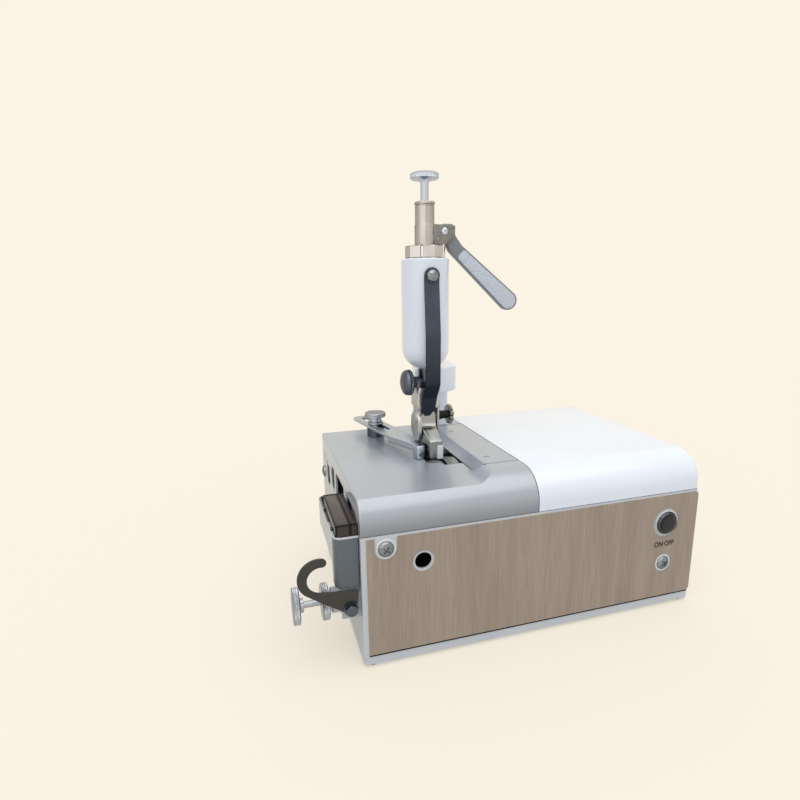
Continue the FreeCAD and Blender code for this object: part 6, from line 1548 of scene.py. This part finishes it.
def make_stage(scene, stage):
    """Floor, backdrop, lights and camera.

    The floor is lit to level times its own colour, so half of this colour and half the glow make it look like
    the backdrop, with a shadow half as deep."""
    scene.view_settings.view_transform = "Standard"
    shader = make_floor(scene, stage)
    make_backdrop(scene, stage)
    level = make_lights(scene, stage)
    shader.inputs["Base Color"].default_value = (*np.clip(0.5 * np.array(stage.floor) / level, 0, 1), 1)
    shader.inputs["Emission Color"].default_value = (*stage.floor, 1)
    shader.inputs["Emission Strength"].default_value = 0.5
    make_camera(scene, stage)


# ------------------------------------------------------------------ operators


class SPLITTER_OT_finishes(Operator):
    """Make every finish, and give the carried-over solids theirs"""

    bl_idname = "splitter.finishes"
    bl_label = "Finishes"

    def execute(self, context):
        make_effects()
        make_finishes(context.scene.splitter_colors)
        for finish, nodes in CARRIED_OVER.items():
            for node in nodes:
                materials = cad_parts[node].data.materials
                materials.clear()
                materials.append(bpy.data.materials[finish])
        return {"FINISHED"}


class SPLITTER_OT_table(Operator):
    """Make the table with its rounded nose and fairing, and the plate over the knife"""

    bl_idname = "splitter.table"
    bl_label = "Table"

    def execute(self, context):
        make_table()
        return {"FINISHED"}


class SPLITTER_OT_seams(Operator):
    """Make the dark lines between the table, the cover and the plate"""

    bl_idname = "splitter.seams"
    bl_label = "Seams"

    def execute(self, context):
        make_seams()
        return {"FINISHED"}


class SPLITTER_OT_cover(Operator):
    """Make the white cover over the motor"""

    bl_idname = "splitter.cover"
    bl_label = "Motor cover"

    def execute(self, context):
        make_cover()
        return {"FINISHED"}


class SPLITTER_OT_head(Operator):
    """Make the head with its collar, sleeve and adjusting rod"""

    bl_idname = "splitter.head"
    bl_label = "Presser head"

    def execute(self, context):
        make_head(context.scene.splitter_sizes)
        return {"FINISHED"}


class SPLITTER_OT_lever(Operator):
    """Make the lever, its bracket and its screw"""

    bl_idname = "splitter.lever"
    bl_label = "Lift lever"

    def execute(self, context):
        make_lever(context.scene.splitter_sizes)
        return {"FINISHED"}


class SPLITTER_OT_strap(Operator):
    """Make the dark spring strap and its stud"""

    bl_idname = "splitter.strap"
    bl_label = "Leaf spring"

    def execute(self, context):
        make_strap(context.scene.splitter_sizes)
        return {"FINISHED"}


class SPLITTER_OT_foot(Operator):
    """Make the foot, its holder, the tilt knob and the side screw"""

    bl_idname = "splitter.foot"
    bl_label = "Presser foot"

    def execute(self, context):
        make_foot()
        return {"FINISHED"}


class SPLITTER_OT_guide(Operator):
    """Make the guide bar, its end block and its screw"""

    bl_idname = "splitter.guide"
    bl_label = "Edge guide"

    def execute(self, context):
        make_guide(context.scene.splitter_sizes)
        return {"FINISHED"}


class SPLITTER_OT_left_side(Operator):
    """Make the hook, the set screw, the lock nut, the tray and its guard"""

    bl_idname = "splitter.left_side"
    bl_label = "Left side"

    def execute(self, context):
        make_left_side(context.scene.splitter_sizes)
        return {"FINISHED"}


class SPLITTER_OT_switch(Operator):
    """Make the switch with its lettering"""

    bl_idname = "splitter.switch"
    bl_label = "Switch"

    def execute(self, context):
        make_switch(context.scene.splitter_sizes)
        return {"FINISHED"}


class SPLITTER_OT_screws(Operator):
    """Make the screws of the front and the left end"""

    bl_idname = "splitter.screws"
    bl_label = "Panel screws"

    def execute(self, context):
        make_screws()
        return {"FINISHED"}


class SPLITTER_OT_stage(Operator):
    """Put the floor, the lights and the camera in place"""

    bl_idname = "splitter.stage"
    bl_label = "Stage"

    def execute(self, context):
        make_stage(context.scene, context.scene.splitter_stage)
        return {"FINISHED"}


class SPLITTER_PT_pieces(Panel):
    """Every setting and every operator, in the sidebar of the 3D view"""

    bl_idname = "SPLITTER_PT_pieces"
    bl_label = "Leather splitting machine"
    bl_space_type = "VIEW_3D"
    bl_region_type = "UI"
    bl_category = "Splitter"

    def draw(self, context):
        for name in GROUPS:
            group = getattr(context.scene, name)
            box = self.layout.box()
            for setting in group.__annotations__:
                box.prop(group, setting)
        for operator in OPERATORS:
            self.layout.operator(operator.bl_idname)


OPERATORS = (
    SPLITTER_OT_finishes,
    SPLITTER_OT_table,
    SPLITTER_OT_seams,
    SPLITTER_OT_cover,
    SPLITTER_OT_head,
    SPLITTER_OT_lever,
    SPLITTER_OT_strap,
    SPLITTER_OT_foot,
    SPLITTER_OT_guide,
    SPLITTER_OT_left_side,
    SPLITTER_OT_switch,
    SPLITTER_OT_screws,
    SPLITTER_OT_stage,
)
GROUPS = {
    "splitter_colors": SPLITTER_PG_colors,
    "splitter_sizes": SPLITTER_PG_sizes,
    "splitter_stage": SPLITTER_PG_stage,
}
CLASSES = (*GROUPS.values(), *OPERATORS, SPLITTER_PT_pieces)


def register():
    """Make the classes known to Blender, and give every scene its settings."""
    for item in CLASSES:
        bpy.utils.register_class(item)
    for name, group in GROUPS.items():
        setattr(bpy.types.Scene, name, PointerProperty(type=group))


def unregister():
    """Take the settings and the classes away again."""
    for name in GROUPS:
        delattr(bpy.types.Scene, name)
    for item in reversed(CLASSES):
        bpy.utils.unregister_class(item)


def main():
    """Call every operator in order."""
    register()
    for operator in OPERATORS:
        group, name = operator.bl_idname.split(".")
        getattr(getattr(bpy.ops, group), name)()


if __name__ == "__main__":
    main()
